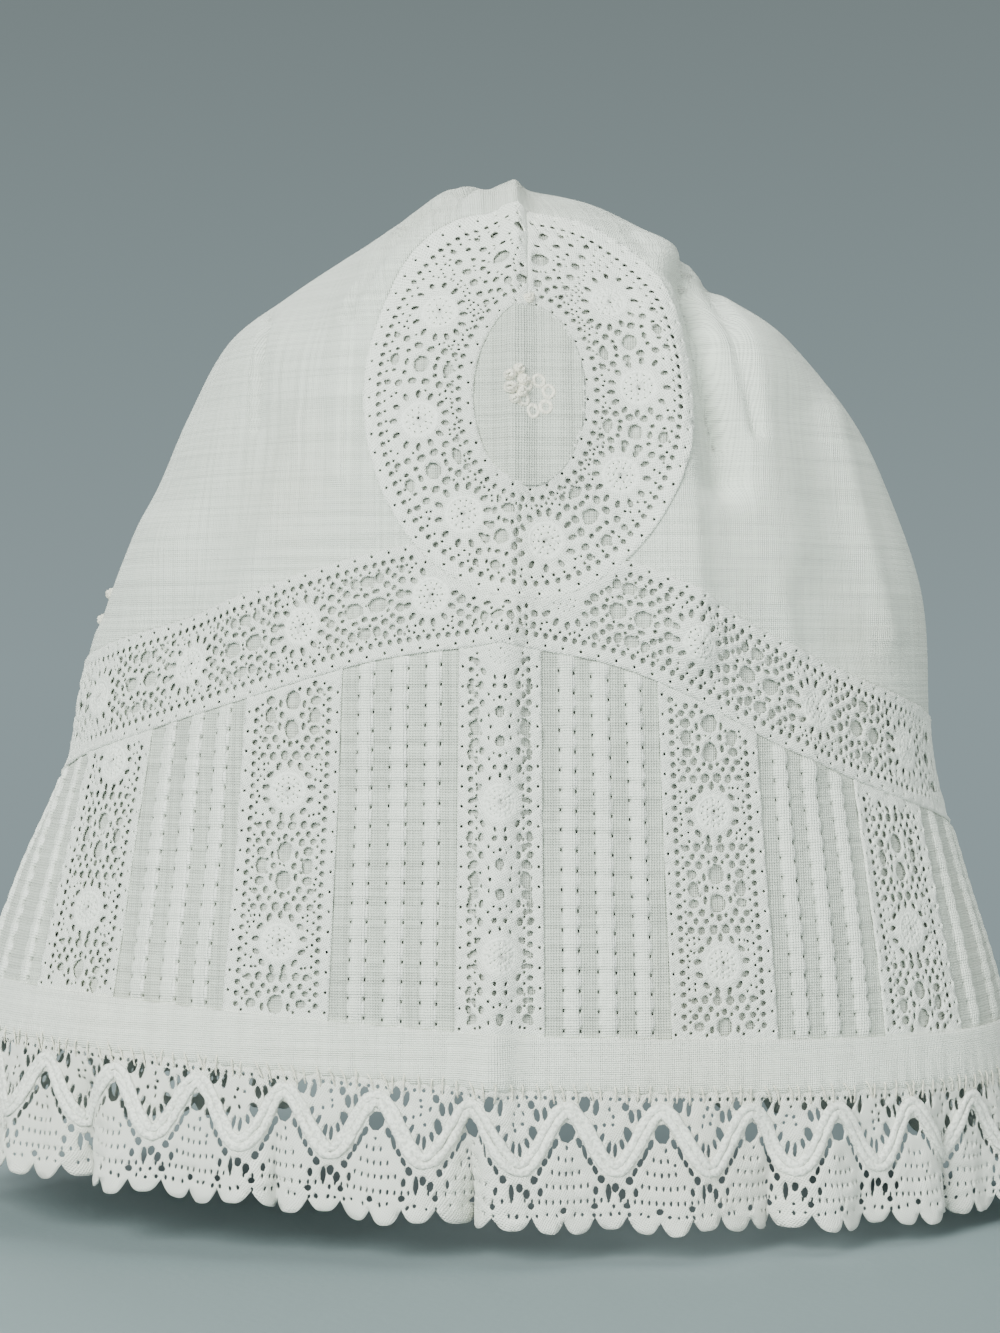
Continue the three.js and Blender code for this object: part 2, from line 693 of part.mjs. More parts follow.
laceStrip("centre_lace_strip", -CENTRE_STRIP_WIDTH / 2, CENTRE_STRIP_WIDTH / 2);
for (const side of [-1, 1]) {
  const word = side < 0 ? "left" : "right";
  let edge = CENTRE_STRIP_WIDTH / 2 + SEAM_GAP;
  const next = (width) => {
    const start = side * edge;
    edge += width + SEAM_GAP;
    return [start, start + side * width];
  };
  tuckedPanel("inner_panel_" + word, ...next(INNER_PANEL_WIDTH), THREE_TUCKS);
  laceStrip("inner_lace_" + word, ...next(BRIM_LACE_WIDTH));
  tuckedPanel("outer_panel_" + word, ...next(OUTER_PANEL_WIDTH), THREE_TUCKS);
  laceStrip("outer_lace_" + word, ...next(BRIM_LACE_WIDTH));
  tuckedPanel("side_panel_" + word, ...next(SIDE_PANEL_WIDTH), FOUR_TUCKS);
  endPanel("back_panel_" + word, side * edge, side);
}

// The folded hem band along the face edge
const HEM_STEP = 6;
const FACE_LEFT = endOfBrim(-1, FACE_RISE);
const FACE_RIGHT = endOfBrim(1, FACE_RISE);
const hemColumns = evenly(FACE_LEFT, FACE_RIGHT, Math.round((FACE_RIGHT - FACE_LEFT) / HEM_STEP));

function hemPlace(along, share) {
  const side = along < 0 ? -1 : 1;
  const edge = faceEdge(along);
  const height = edge + share * HEM_HEIGHT;
  return onCloth(fromRim((along * endOfBrim(side, height)) / endOfBrim(side, edge), height));
}

add(
  "hem_band",
  sheetSolid({
    columns: hemColumns,
    rows: [0, 1],
    place: hemPlace,
    wall: HEM_WALL - HEM_RISE,
    rise: () => HEM_RISE,
  }),
  lawn,
);

// The neck hem: a narrow band round the arch.
const NECK_STEPS = 26;
const NECK_START = Math.asin(FACE_RISE / NECK_HEIGHT);
add(
  "neck_hem",
  sheetSolid({
    columns: evenly(NECK_START, Math.PI - NECK_START, NECK_STEPS),
    rows: [0, 1],
    place: (turn, share) => onCloth(archPoint(turn, share * NECK_HEM_WIDTH)),
    wall: HEM_WALL - HEM_RISE,
    rise: () => HEM_RISE,
  }),
  lawn,
);

// The gathered frill. Its grid follows the zigzag of the raised cord, and each repeat has three gaps:
// one under each peak of the cord and two beside each leaf above it.
const FRILL_CELLS = [-0.08, 0.08, 0.28, 0.5, 0.72];
const CORD_PEAK = 0.19;
const CORD_TROUGH = 0.62;
const CORD_HALF = 0.045;
const HEADING = 0.08;
const LADDER = 0.17;
const LADDER_LOSS = 0.6;
const FRILL_ROW_COUNT = 5;
const FRILL_END_CLEAR = 0.2;
const FRILL_REPEATS = Math.round((FACE_RIGHT - FACE_LEFT) / FRILL_REPEAT);
const FRILL_PITCH = (FACE_RIGHT - FACE_LEFT) / FRILL_REPEATS;

function frillFold(along) {
  let fold = GATHER_WAVE * Math.sin((2 * Math.PI * along) / (1.5 * FRILL_PITCH));
  for (const notch of FRILL_NOTCHES) {
    const half = notch.along < 0 ? RIM_HALF_LEFT : RIM_HALF_RIGHT;
    const away = (along - notch.along * half) / NOTCH_WIDTH;
    fold -= notch.depth * NOTCH_DEPTH * Math.exp(-away * away);
  }
  return fold;
}

function frillDrop(along, row) {
  const share = ((along - FACE_LEFT) / FRILL_PITCH) % 1;
  const down = 1 - Math.abs(2 * share - 1);
  const soft = THREE.MathUtils.smoothstep(down, 0, 1);
  const cord = lerp(CORD_PEAK, CORD_TROUGH, soft);
  const ladder = LADDER * (1 - soft * LADDER_LOSS);
  return [0, HEADING, cord - CORD_HALF, cord + CORD_HALF, cord + CORD_HALF + ladder, 1][row];
}

function frillPoint(along, down) {
  const seam = fromRim(along, faceEdge(along));
  const out = plainNormal(seam).setZ(0).normalize();
  return onCloth(seam)
    .point.addScaledVector(out, (FRILL_FLARE + frillFold(along)) * down)
    .setZ(seam.z - SEAM_GAP - FRILL_DEPTH * down);
}

function frillPlace(along, row) {
  const down = frillDrop(along, row);
  const step = 0.1;
  const point = frillPoint(along, down);
  const across = frillPoint(along + step, down).sub(frillPoint(along - step, down));
  const lower = frillPoint(along, down + 0.01).sub(frillPoint(along, down - 0.01));
  return { point, normal: lower.cross(across).normalize() };
}

const frillColumns = [FACE_LEFT];
for (let repeat = 0; repeat <= FRILL_REPEATS; repeat += 1) {
  for (const cell of FRILL_CELLS) {
    const along = FACE_LEFT + (repeat + cell) * FRILL_PITCH;
    const inside = along > FACE_LEFT + FRILL_END_CLEAR && along < FACE_RIGHT - FRILL_END_CLEAR;
    if (inside) frillColumns.push(along);
  }
}
frillColumns.push(FACE_RIGHT);

function frillGap(i, j) {
  const middle = (frillColumns[i] + frillColumns[i + 1]) / 2;
  const away = Math.abs((((middle - FACE_LEFT) / FRILL_PITCH + 0.5) % 1) - 0.5);
  const atEnd = i < 2 || i > frillColumns.length - 4;
  if (atEnd) return false;
  if (j === 3) return away < FRILL_CELLS[1];
  return j === 1 && away > FRILL_CELLS[1] && away < FRILL_CELLS[2];
}

add(
  "lace_frill",
  sheetSolid({
    columns: frillColumns,
    rows: evenly(0, FRILL_ROW_COUNT, FRILL_ROW_COUNT),
    place: frillPlace,
    wall: FRILL_WALL,
    rise: (along, row) => (row === 2 || row === 3 ? GIMP_RISE : 0),
    isGap: frillGap,
  }),
  edging,
);

// The lining lies under all the walls, in a crown part and a brim part. It keeps clear of the dents.
const DENTS = FOLDS.filter((fold) => fold.rise < 0);
const DENT_WIDTH = 15;
const LINING_SPLIT = NECK_HEIGHT - LINING_SPLIT_DROP;
const LINING_HEART = new THREE.Vector3(0, 0, LINING_SPLIT);

function underCloth(point) {
  const normal = plainNormal(point);
  const drop = foldRise(point, DENTS, DENT_WIDTH) - LINING_DROP;
  return { point: point.clone().addScaledVector(normal, drop), normal };
}

// The crown part's edge is level, and rises over the neck arch at the back.
function liningEdge(turn) {
  const level = sectionPoint(turn, LINING_SPLIT);
  const across = clamp(level.x / (NECK_HALF_WIDTH + NECK_HEM_WIDTH / 2), -1, 1);
  const arch = (NECK_HEIGHT + NECK_HEM_WIDTH / 2) * Math.sqrt(1 - across * across);
  return level.y > 0 && arch > LINING_SPLIT ? sectionPoint(turn, arch) : level;
}

// A square grid drawn out to a disc, and the disc bent over the crown
function liningCrownPlace(u, v) {
  const x = u * Math.sqrt(1 - (v * v) / 2);
  const y = v * Math.sqrt(1 - (u * u) / 2);
  const edge = liningEdge(Math.atan2(x, -y)).sub(LINING_HEART).normalize();
  const top = new THREE.Vector3(0, 0, 1);
  const angle = top.angleTo(edge);
  const share = Math.hypot(x, y);
  const direction = top
    .multiplyScalar(Math.sin((1 - share) * angle))
    .addScaledVector(edge, Math.sin(share * angle))
    .normalize();
  return underCloth(alongRay(direction, LINING_HEART));
}

function liningBrimPlace(u, v) {
  const offset = NECK_HEM_WIDTH / 2;
  const alongAt = (height) => lerp(endOfBrim(-1, height, offset), endOfBrim(1, height, offset), u);
  const low = faceEdge(alongAt(FACE_RISE)) + HEM_HEIGHT / 2;
  const height = lerp(low, LINING_SPLIT - SEAM_GAP, v);
  return underCloth(fromRim(alongAt(height), height));
}

const liningSquare = evenly(-1, 1, 11);
add(
  "lining_crown",
  sheetSolid({ columns: liningSquare, rows: liningSquare, place: liningCrownPlace, wall: LINING_WALL }),
  lawn,
);
add(
  "lining_brim",
  sheetSolid({ columns: evenly(0, 1, 28), rows: evenly(0, 1, 3), place: liningBrimPlace, wall: LINING_WALL }),
  lawn,
);

// The embroidered eyelet flower: a lobed ring that follows the roundel a little above it
const FLOWER_PETALS = 6;
const FLOWER_STEPS = 36;
const PETAL_WAVE = 0.18;
const FLOWER_SEAT = 0.5;

function flowerPlace(turn, share) {
  const outline = FLOWER_RADIUS * (1 - PETAL_WAVE + PETAL_WAVE * Math.cos(FLOWER_PETALS * turn));
  const radius = lerp(EYELET_RADIUS, outline, share);
  return onCloth(fromFront(RING_OFFSET + radius * Math.sin(turn), RING_CENTRE + radius * Math.cos(turn)));
}

add(
  "roundel_flower",
  sheetSolid({
    columns: evenly(0, 2 * Math.PI, FLOWER_STEPS).slice(0, -1),
    rows: [0, 1],
    place: flowerPlace,
    wall: -FLOWER_SEAT,
    rise: () => FLOWER_SEAT + FLOWER_HEIGHT,
    closed: true,
  }),
  thread,
);

function seatOn(mesh, place, lift) {
  mesh.position.copy(place.point).addScaledVector(place.normal, lift);
  mesh.quaternion.setFromUnitVectors(new THREE.Vector3(0, 0, 1), place.normal);
}

// Thread knots
function knot(name, place) {
  const ball = new THREE.IcosahedronGeometry(KNOT_RADIUS, 1);
  seatOn(add(name, ball, thread), place, KNOT_RADIUS + SEAM_GAP);
}

const SIDE_KNOT_UPPER = 67.5;
const SIDE_KNOT_LOWER = 64;
const SIDE_KNOT_TURN = 0.05 - Math.PI / 2;
const RING_KNOT_SHARE = 0.1;
knot("ring_knot", ringPlace(Math.PI, RING_KNOT_SHARE));
knot("side_knot_upper", onCloth(sectionPoint(SIDE_KNOT_TURN, SIDE_KNOT_UPPER)));
knot("side_knot_lower", onCloth(sectionPoint(SIDE_KNOT_TURN, SIDE_KNOT_LOWER)));

export default bonnet;
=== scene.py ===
import json
import math
from collections import namedtuple

import bpy
import numpy as np
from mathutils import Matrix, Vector
from mathutils.geometry import delaunay_2d_cdt

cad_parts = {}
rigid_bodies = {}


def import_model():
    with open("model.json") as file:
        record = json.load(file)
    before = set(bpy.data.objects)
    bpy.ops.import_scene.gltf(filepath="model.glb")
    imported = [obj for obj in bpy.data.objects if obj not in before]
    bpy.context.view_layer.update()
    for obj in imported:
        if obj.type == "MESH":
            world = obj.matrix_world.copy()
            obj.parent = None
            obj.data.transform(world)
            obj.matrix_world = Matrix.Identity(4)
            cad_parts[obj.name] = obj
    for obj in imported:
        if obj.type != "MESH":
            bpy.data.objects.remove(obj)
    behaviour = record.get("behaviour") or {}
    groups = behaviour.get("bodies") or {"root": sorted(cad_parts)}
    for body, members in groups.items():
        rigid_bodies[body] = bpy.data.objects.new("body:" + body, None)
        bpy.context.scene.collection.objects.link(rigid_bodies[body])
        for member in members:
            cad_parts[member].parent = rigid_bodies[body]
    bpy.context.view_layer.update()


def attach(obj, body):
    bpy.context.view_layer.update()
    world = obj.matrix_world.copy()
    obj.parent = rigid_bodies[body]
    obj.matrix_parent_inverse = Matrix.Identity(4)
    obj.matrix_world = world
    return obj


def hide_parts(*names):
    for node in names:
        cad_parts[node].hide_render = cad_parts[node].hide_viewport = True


for leftover in list(bpy.data.objects):
    bpy.data.objects.remove(leftover)
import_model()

# ---------------------------------------------------------------- sizes of the shell, as in the frame
MM = 0.001
CROWN_HEIGHT = 124
RIM_LEFT = 76
RIM_RIGHT = 71
FRONT_DEPTH = 43
BACK_DEPTH = 41
SEAT_DROP = 3.2

SEAM_GAP = 0.3
SEAM_LAP = 0.12
RING_OFFSET = 3.5
RING_DROP = 6.5
RING_HALF_WIDTH = 20.4
RING_HALF_HEIGHT = 25.5
ROUNDEL_HALF_WIDTH = 7.1
ROUNDEL_HALF_HEIGHT = 11.6
BAND_BELOW_RING = 5.5
BAND_RISE = 13.4
BAND_REPEAT = 18.5
BAND_FIRST_WHEEL = -9.6
CENTRE_STRIP_WIDTH = 10.6
BRIM_LACE_WIDTH = 13.6
LACE_REPEAT = 18.6
PANEL_WIDTH = 16
SIDE_PANEL_WIDTH = 28
BRIM_TAPER = 0.1
HEM_HEIGHT = 6.2
FACE_RISE = 8
NECK_HALF_WIDTH = 28
NECK_RISE = 7
NECK_HEM_WIDTH = 3
FRILL_DEPTH = 16.5
FRILL_FLARE = 2.5
FRILL_REPEAT = 11.6
FOLD_WIDTH = 5
FOLD_DEPTH = 3
HEART_SHARE = 0.36

# Cloth, lace and thread
NET_REACH = 105
LAWN_WALL = 0.4
HEM_WALL = 0.42
LINING_DROP = 0.48
LINING_WALL = 0.35
LACE_HALF_WALL = 0.2
NEEDLE_PITCH = 2.45
NEEDLE_HOLE = 0.2
EDGE_ROLL = 0.75
CLOTH_WAVE = 0.16
CLOTH_WAVE_LENGTH = 22
HALVINGS = 40

# Share of the depth over which the folds of the front die out, from a quarter of the way to the back
FOLD_END = 0.25

Section = namedtuple("Section", "height left right front back")
SECTIONS = [
    Section(0, 1, 1, 1, 1),
    Section(0.1, 0.946, 0.965, 0.985, 0.98),
    Section(0.255, 0.847, 0.882, 0.945, 0.95),
    Section(0.363, 0.775, 0.83, 0.915, 0.92),
    Section(0.54, 0.688, 0.812, 0.87, 0.87),
    Section(0.661, 0.613, 0.742, 0.82, 0.81),
    Section(0.742, 0.559, 0.675, 0.76, 0.75),
    Section(0.819, 0.49, 0.558, 0.68, 0.66),
    Section(0.871, 0.385, 0.435, 0.6, 0.57),
    Section(0.927, 0.262, 0.322, 0.48, 0.45),
    Section(0.97, 0.16, 0.2, 0.33, 0.3),
    Section(1, 0, 0, 0, 0),
]

BandRow = namedtuple("BandRow", "along left right")
BAND_LINE = [
    BandRow(0, 1, 1),
    BandRow(0.08, 0.972, 0.962),
    BandRow(0.14, 0.93, 0.9),
    BandRow(0.22, 0.865, 0.79),
    BandRow(0.34, 0.775, 0.675),
    BandRow(0.5, 0.68, 0.59),
    BandRow(0.7, 0.62, 0.56),
    BandRow(1, 0.6, 0.56),
]

FaceRow = namedtuple("FaceRow", "along left right")
FACE_LINE = [
    FaceRow(0, 0.81, 0.81),
    FaceRow(0.15, 1.05, 0.7),
    FaceRow(0.3, 1.24, 0.59),
    FaceRow(0.45, 1.3, 0.59),
    FaceRow(0.7, 1, 1),
    FaceRow(0.85, 1, 1),
    FaceRow(1, 1, 1),
]

# Folds seen from the front: ends across as shares of the rim's reach and up as shares of the height,
# width as a share of FOLD_WIDTH, rise as a share of FOLD_DEPTH. The last ones are too fine for the frame.
Fold = namedtuple("Fold", "name x0 z0 x1 z1 width rise")
FOLDS = [
    Fold("centre crease, crown", 0.022, 1.03, 0.015, 0.52, 0.38, 0.45),
    Fold("centre crease, brim", 0.005, 0.5, -0.02, -0.02, 0.5, 0.75),
    Fold("deep fold right of the ring", 0.345, 0.87, 0.4, 0.66, 0.55, -1.1),
    Fold("ridge beside the deep fold", 0.3, 0.9, 0.33, 0.5, 0.9, 0.55),
    Fold("puff outside the deep fold", 0.45, 0.8, 0.52, 0.6, 1.2, 0.5),
    Fold("fold over the ring, left", -0.05, 0.97, -0.24, 0.85, 0.55, 0.6),
    Fold("hollow left of that fold", -0.16, 0.97, -0.34, 0.84, 0.9, -0.35),
    Fold("soft fold low on the left", -0.6, 0.6, -0.73, 0.44, 1.1, 0.5),
    Fold("hollow above the left band", -0.42, 0.7, -0.55, 0.52, 1.4, -0.4),
    Fold("hollow above the right band", 0.55, 0.72, 0.62, 0.5, 1.3, -0.45),
]
FINE_FOLDS = [
    Fold("sharp crease at the top", 0.03, 1.0, 0.03, 0.9, 0.16, 0.2),
    Fold("flat of the top", -0.03, 1.03, 0.06, 1.0, 1.5, -0.55),
    Fold("crease left of the top", -0.02, 1, -0.09, 0.94, 0.14, -0.3),
    Fold("crease along the ring, left, upper", -0.04, 0.985, -0.165, 0.93, 0.13, -0.42),
    Fold("crease along the ring, left, lower", -0.165, 0.93, -0.26, 0.83, 0.13, -0.42),
    Fold("roll along the ring, left", -0.1, 0.985, -0.24, 0.9, 0.3, 0.24),
    Fold("fold at the ring, right", 0.28, 0.89, 0.34, 0.83, 0.2, 0.25),
    Fold("second fold at the ring, right", 0.24, 0.93, 0.3, 0.87, 0.14, -0.2),
    Fold("edge of the deep fold", 0.34, 0.92, 0.4, 0.7, 0.16, -0.45),
    Fold("second edge of the deep fold", 0.4, 0.885, 0.46, 0.71, 0.17, -0.42),
    Fold("soft fold beside the ring", 0.335, 0.62, 0.345, 0.48, 0.3, 0.16),
    Fold("long fold on the right", 0.62, 0.74, 0.72, 0.5, 0.35, 0.26),
    Fold("crease at the left hump", -0.41, 0.845, -0.425, 0.72, 0.13, -0.32),
    Fold("fold beside the ring, left", -0.26, 0.84, -0.27, 0.66, 0.22, 0.16),
    Fold("long fold on the left", -0.34, 0.72, -0.46, 0.5, 0.35, 0.14),
    Fold("fold over the band, right", 0.5, 0.55, 0.56, 0.36, 0.3, 0.13),
    Fold("pull at the left seam", -0.7, 0.5, -0.82, 0.36, 0.25, 0.14),
]

Notch = namedtuple("Notch", "along depth")
FRILL_NOTCHES = [
    Notch(-0.29, 0.7),
    Notch(-0.15, 0.9),
    Notch(-0.016, 1.2),
    Notch(0.19, 0.9),
    Notch(0.34, 0.8),
    Notch(0.42, 0.6),
]


# ---------------------------------------------------------------- number helpers
def mix(one, other, share):
    return one + (other - one) * share


def soft_step(share):
    share = np.clip(share, 0, 1)
    return share * share * (3 - 2 * share)


def unit(vectors):
    return vectors / np.linalg.norm(vectors, axis=-1, keepdims=True)


def table_curve(at, values):
    """A smooth curve through the rows of a table, with slopes from the neighbouring rows."""
    at = np.array(at, float)
    values = np.array(values, float)
    rows = np.arange(len(at))
    before = np.maximum(rows - 1, 0)
    after = np.minimum(rows + 1, len(at) - 1)
    slope = (values[after] - values[before]) / (at[after] - at[before])

    def curve(place):
        place = np.clip(place, at[0], at[-1])
        row = np.clip(np.searchsorted(at, place) - 1, 0, len(at) - 2)
        span = at[row + 1] - at[row]
        share = (place - at[row]) / span
        rise = values[row + 1] - values[row]
        start = slope[row] * span - rise
        end = rise - slope[row + 1] * span
        return values[row] + share * rise + share * (1 - share) * ((1 - share) * start + share * end)

    return curve


def between(table, row, column):
    """The value of a table of numbers between its rows and columns."""
    row = np.clip(row, 0, table.shape[0] - 1.001)
    column = np.clip(column, 0, table.shape[1] - 1.001)
    i = row.astype(int)
    j = column.astype(int)
    lower = mix(table[i, j], table[i, j + 1], column - j)
    upper = mix(table[i + 1, j], table[i + 1, j + 1], column - j)
    return mix(lower, upper, row - i)


def ripple(points, size, seed, waves=10):
    """A smooth random value from about -1 to 1, with waves of about that size."""
    rng = np.random.default_rng(seed)
    total = np.zeros(len(points))
    for _ in range(waves):
        direction = unit(rng.normal(size=points.shape[1]))
        pace = 2 * math.pi / size * rng.uniform(0.6, 1.5)
        total += np.sin(points @ direction * pace + rng.uniform(0, 2 * math.pi))
    return total / math.sqrt(waves)


# ---------------------------------------------------------------- the shell
def reach_curve(column, full):
    square = table_curve([s.height for s in SECTIONS], [getattr(s, column) ** 2 for s in SECTIONS])
    return lambda height: full * np.sqrt(np.maximum(square(height / CROWN_HEIGHT), 1e-6))


reach_left = reach_curve("left", RIM_LEFT)
reach_right = reach_curve("right", RIM_RIGHT)
reach_front = reach_curve("front", FRONT_DEPTH)
reach_back = reach_curve("back", BACK_DEPTH)


def outness(points):
    x, y, z = points.T
    across = x / np.where(x < 0, reach_left(z), reach_right(z))
    deep = y / np.where(y < 0, reach_front(z), reach_back(z))
    return np.hypot(across, deep)


def plain_normal(points):
    step = 0.02
    slopes = [outness(points + step * axis) - outness(points - step * axis) for axis in np.eye(3)]
    return unit(np.stack(slopes, axis=1))


def along_ray(direction, heart):
    near = np.zeros(len(direction))
    far = np.full(len(direction), 2.0 * CROWN_HEIGHT)
    for _ in range(HALVINGS):
        middle = (near + far) / 2
        points = heart + direction * middle[:, None]
        within = (points[:, 2] < CROWN_HEIGHT) & (outness(points) < 1)
        near = np.where(within, middle, near)
        far = np.where(within, far, middle)
    return heart + direction * near[:, None]


def from_front(x, z):
    across = x / np.where(x < 0, reach_left(z), reach_right(z))
    return np.stack([x, -reach_front(z) * np.sqrt(np.maximum(1 - across**2, 0)), z], axis=1)


def fold_rise(points, folds):
    rise = np.zeros(len(points))
    seen = points[:, [0, 2]]
    for fold in folds:
        reach = RIM_LEFT if fold.x0 + fold.x1 < 0 else RIM_RIGHT
        start = np.array([fold.x0 * reach, fold.z0 * CROWN_HEIGHT])
        run = np.array([fold.x1 * reach, fold.z1 * CROWN_HEIGHT]) - start
        share = np.clip((seen - start) @ run / (run @ run), 0, 1)
        away = np.linalg.norm(seen - start - share[:, None] * run, axis=1)
        rise += fold.rise * FOLD_DEPTH * np.exp(-((away / (fold.width * FOLD_WIDTH)) ** 2))
    fade = soft_step((-points[:, 1] + FOLD_END * BACK_DEPTH) / (FOLD_END * (FRONT_DEPTH + BACK_DEPTH)))
    return rise * fade


def whole_rise(points):
    wave = CLOTH_WAVE * ripple(points, CLOTH_WAVE_LENGTH, 5)
    return fold_rise(points, FOLDS) + fold_rise(points, FINE_FOLDS) + wave


def on_cloth(points):
    """The folded cloth over points of the plain shell, and its normals."""
    normal = plain_normal(points)
    rise = whole_rise(points)
    step = 0.05
    slope = np.zeros_like(points)
    for axis in (0, 2):
        move = step * np.eye(3)[axis]
        slope[:, axis] = (whole_rise(points + move) - whole_rise(points - move)) / (2 * step)
    return points + normal * rise[:, None], unit(normal - slope)


# Distances round a section, from the front centre, right side positive
TURN_STEPS = 193
TURNS = np.linspace(0, math.pi, TURN_STEPS)
HEIGHT_STEP = 0.5
HEIGHTS = np.arange(0, CROWN_HEIGHT + HEIGHT_STEP / 2, HEIGHT_STEP)
SHARES = np.linspace(0, 1, TURN_STEPS)


def section_lengths(reach):
    depth = np.where(TURNS < math.pi / 2, reach_front(HEIGHTS)[:, None], reach_back(HEIGHTS)[:, None])
    x = reach(HEIGHTS)[:, None] * np.sin(TURNS)
    y = -depth * np.cos(TURNS)
    steps = np.hypot(np.diff(x, axis=1), np.diff(y, axis=1))
    return np.hstack([np.zeros((len(HEIGHTS), 1)), np.cumsum(steps, axis=1)])


LENGTHS = {-1: section_lengths(reach_left), 1: section_lengths(reach_right)}
TURN_AT = {
    side: np.array([np.interp(SHARES * row[-1], row, TURNS) for row in table])
    for side, table in LENGTHS.items()
}


def half_round(side, height):
    return np.interp(height, HEIGHTS, LENGTHS[side][:, -1])


def section_point(turn, height):
    side = np.where(turn < 0, reach_left(height), reach_right(height))
    depth = np.where(np.abs(turn) < math.pi / 2, reach_front(height), reach_back(height))
    return np.stack([side * np.sin(turn), -depth * np.cos(turn), height + 0 * turn], axis=1)


def round_section(distance, height):
    turn = np.zeros(len(distance))
    for side in (-1, 1):
        share = np.clip(side * distance / half_round(side, height), 0, 1)
        turn += side * between(TURN_AT[side], height / HEIGHT_STEP, share * (len(SHARES) - 1))
    return section_point(turn, height)


FRONT_MERIDIAN = np.concatenate([[0], np.cumsum(np.hypot(np.diff(HEIGHTS), np.diff(reach_front(HEIGHTS))))])


def grain(points):
    """Where a point lies on the straight grain of the cloth: round the section, and up the front."""
    x, y, z = points.T
    found = np.zeros(len(points))
    for side, reach in ((-1, reach_left), (1, reach_right)):
        turn = np.arctan2(side * x / reach(z), -y / np.where(y < 0, reach_front(z), reach_back(z)))
        length = between(LENGTHS[side], z / HEIGHT_STEP, np.clip(turn, 0, math.pi) / TURNS[1])
        found = np.where(side * x > 0, side * length, found)
    return np.stack([found, np.interp(z, HEIGHTS, FRONT_MERIDIAN)], axis=1)


GRAIN_JUMP = 50


def corner_grain(points, faces):
    """The grain at each face's corners, carried on over the centre of the back, where it changes sides."""
    laid = grain(points)[faces]
    heights = points[faces][..., 2]
    whole = half_round(-1, heights) + half_round(1, heights)
    jumps = np.ptp(laid[..., 0], axis=1, keepdims=True) > GRAIN_JUMP
    laid[..., 0] += np.where(jumps & (laid[..., 0] < 0), whole, 0)
    return laid


RING_CENTRE = CROWN_HEIGHT - RING_DROP - RING_HALF_HEIGHT
BAND_CENTRE = RING_CENTRE - RING_HALF_HEIGHT - BAND_BELOW_RING
HEART = np.array([0, 0, HEART_SHARE * CROWN_HEIGHT])


def taper(height):
    return 1 - BRIM_TAPER * height / BAND_CENTRE


def from_rim(along, height):
    return round_section(along * taper(height), height)


band_left = table_curve([r.along for r in BAND_LINE], [r.left for r in BAND_LINE])
band_right = table_curve([r.along for r in BAND_LINE], [r.right for r in BAND_LINE])
RIM_HALF_LEFT = half_round(-1, 0)
RIM_HALF_RIGHT = half_round(1, 0)


def band_foot(along):
    share = np.where(along < 0, band_left(-along / RIM_HALF_LEFT), band_right(along / RIM_HALF_RIGHT))
    return BAND_CENTRE * share


face_left = table_curve([r.along for r in FACE_LINE], [r.left for r in FACE_LINE])
face_right = table_curve([r.along for r in FACE_LINE], [r.right for r in FACE_LINE])


def face_edge(along):
    """Height of the hem's lower edge."""
    share = np.where(along < 0, face_left(-along / RIM_HALF_LEFT), face_right(along / RIM_HALF_RIGHT))
    return FACE_RISE * share


def brim_low(along):
    return face_edge(along) + HEM_HEIGHT + SEAM_GAP / 2


def ring_outline(turn, half_width, half_height):
    return from_front(RING_OFFSET - half_width * np.sin(turn), RING_CENTRE - half_height * np.cos(turn))


def ring_foot(along, height):
    """Height of the ring's lower edge over a place on the brim, and a great height beside the ring."""
    across = (from_rim(along, height)[:, 0] - RING_OFFSET) / (RING_HALF_WIDTH + SEAM_GAP)
    arc = RING_CENTRE - (RING_HALF_HEIGHT + SEAM_GAP) * np.sqrt(np.maximum(1 - across**2, 0))
    return np.where(np.abs(across) < 1, arc, 10 * CROWN_HEIGHT)


def band_head(along):
    plain = band_foot(along) + BAND_RISE
    return np.minimum(plain, ring_foot(along, plain))


def last_true(test, far):
    """The largest value below far for which a test holds, found by halving."""
    near = 0.0
    for _ in range(HALVINGS):
        middle = (near + far) / 2
        near, far = (middle, far) if test(np.array([middle])) else (near, middle)
    return near


def under_ring(side):
    def test(distance):
        plain = band_foot(side * distance) + BAND_RISE
        return ring_foot(side * distance, plain)[0] < plain[0]

    return side * last_true(test, RING_HALF_WIDTH + RING_OFFSET)


JUNCTION_LEFT = under_ring(-1)
JUNCTION_RIGHT = under_ring(1)
BAND_END_HEIGHT = BAND_CENTRE * max(band_left(1), band_right(1)) + BAND_RISE
NECK_HEIGHT = BAND_END_HEIGHT + NECK_RISE
NECK_SEAM = NECK_HEM_WIDTH + SEAM_GAP


def end_of_brim(side, height, offset=NECK_SEAM):
    share = np.clip(height / (NECK_HEIGHT + offset), 0, 1)
    opening = (NECK_HALF_WIDTH + offset) * np.sqrt(1 - share**2)
    return side * (half_round(side, height) - opening) / taper(height)


def arch_point(turn, offset):
    height = (NECK_HEIGHT + offset) * np.sin(turn)
    off = (NECK_HALF_WIDTH + offset) * np.cos(turn)
    left = round_section(-(half_round(-1, height) - np.abs(off)), height)
    right = round_section(half_round(1, height) - np.abs(off), height)
    return np.where((off > 0)[:, None], left, right)


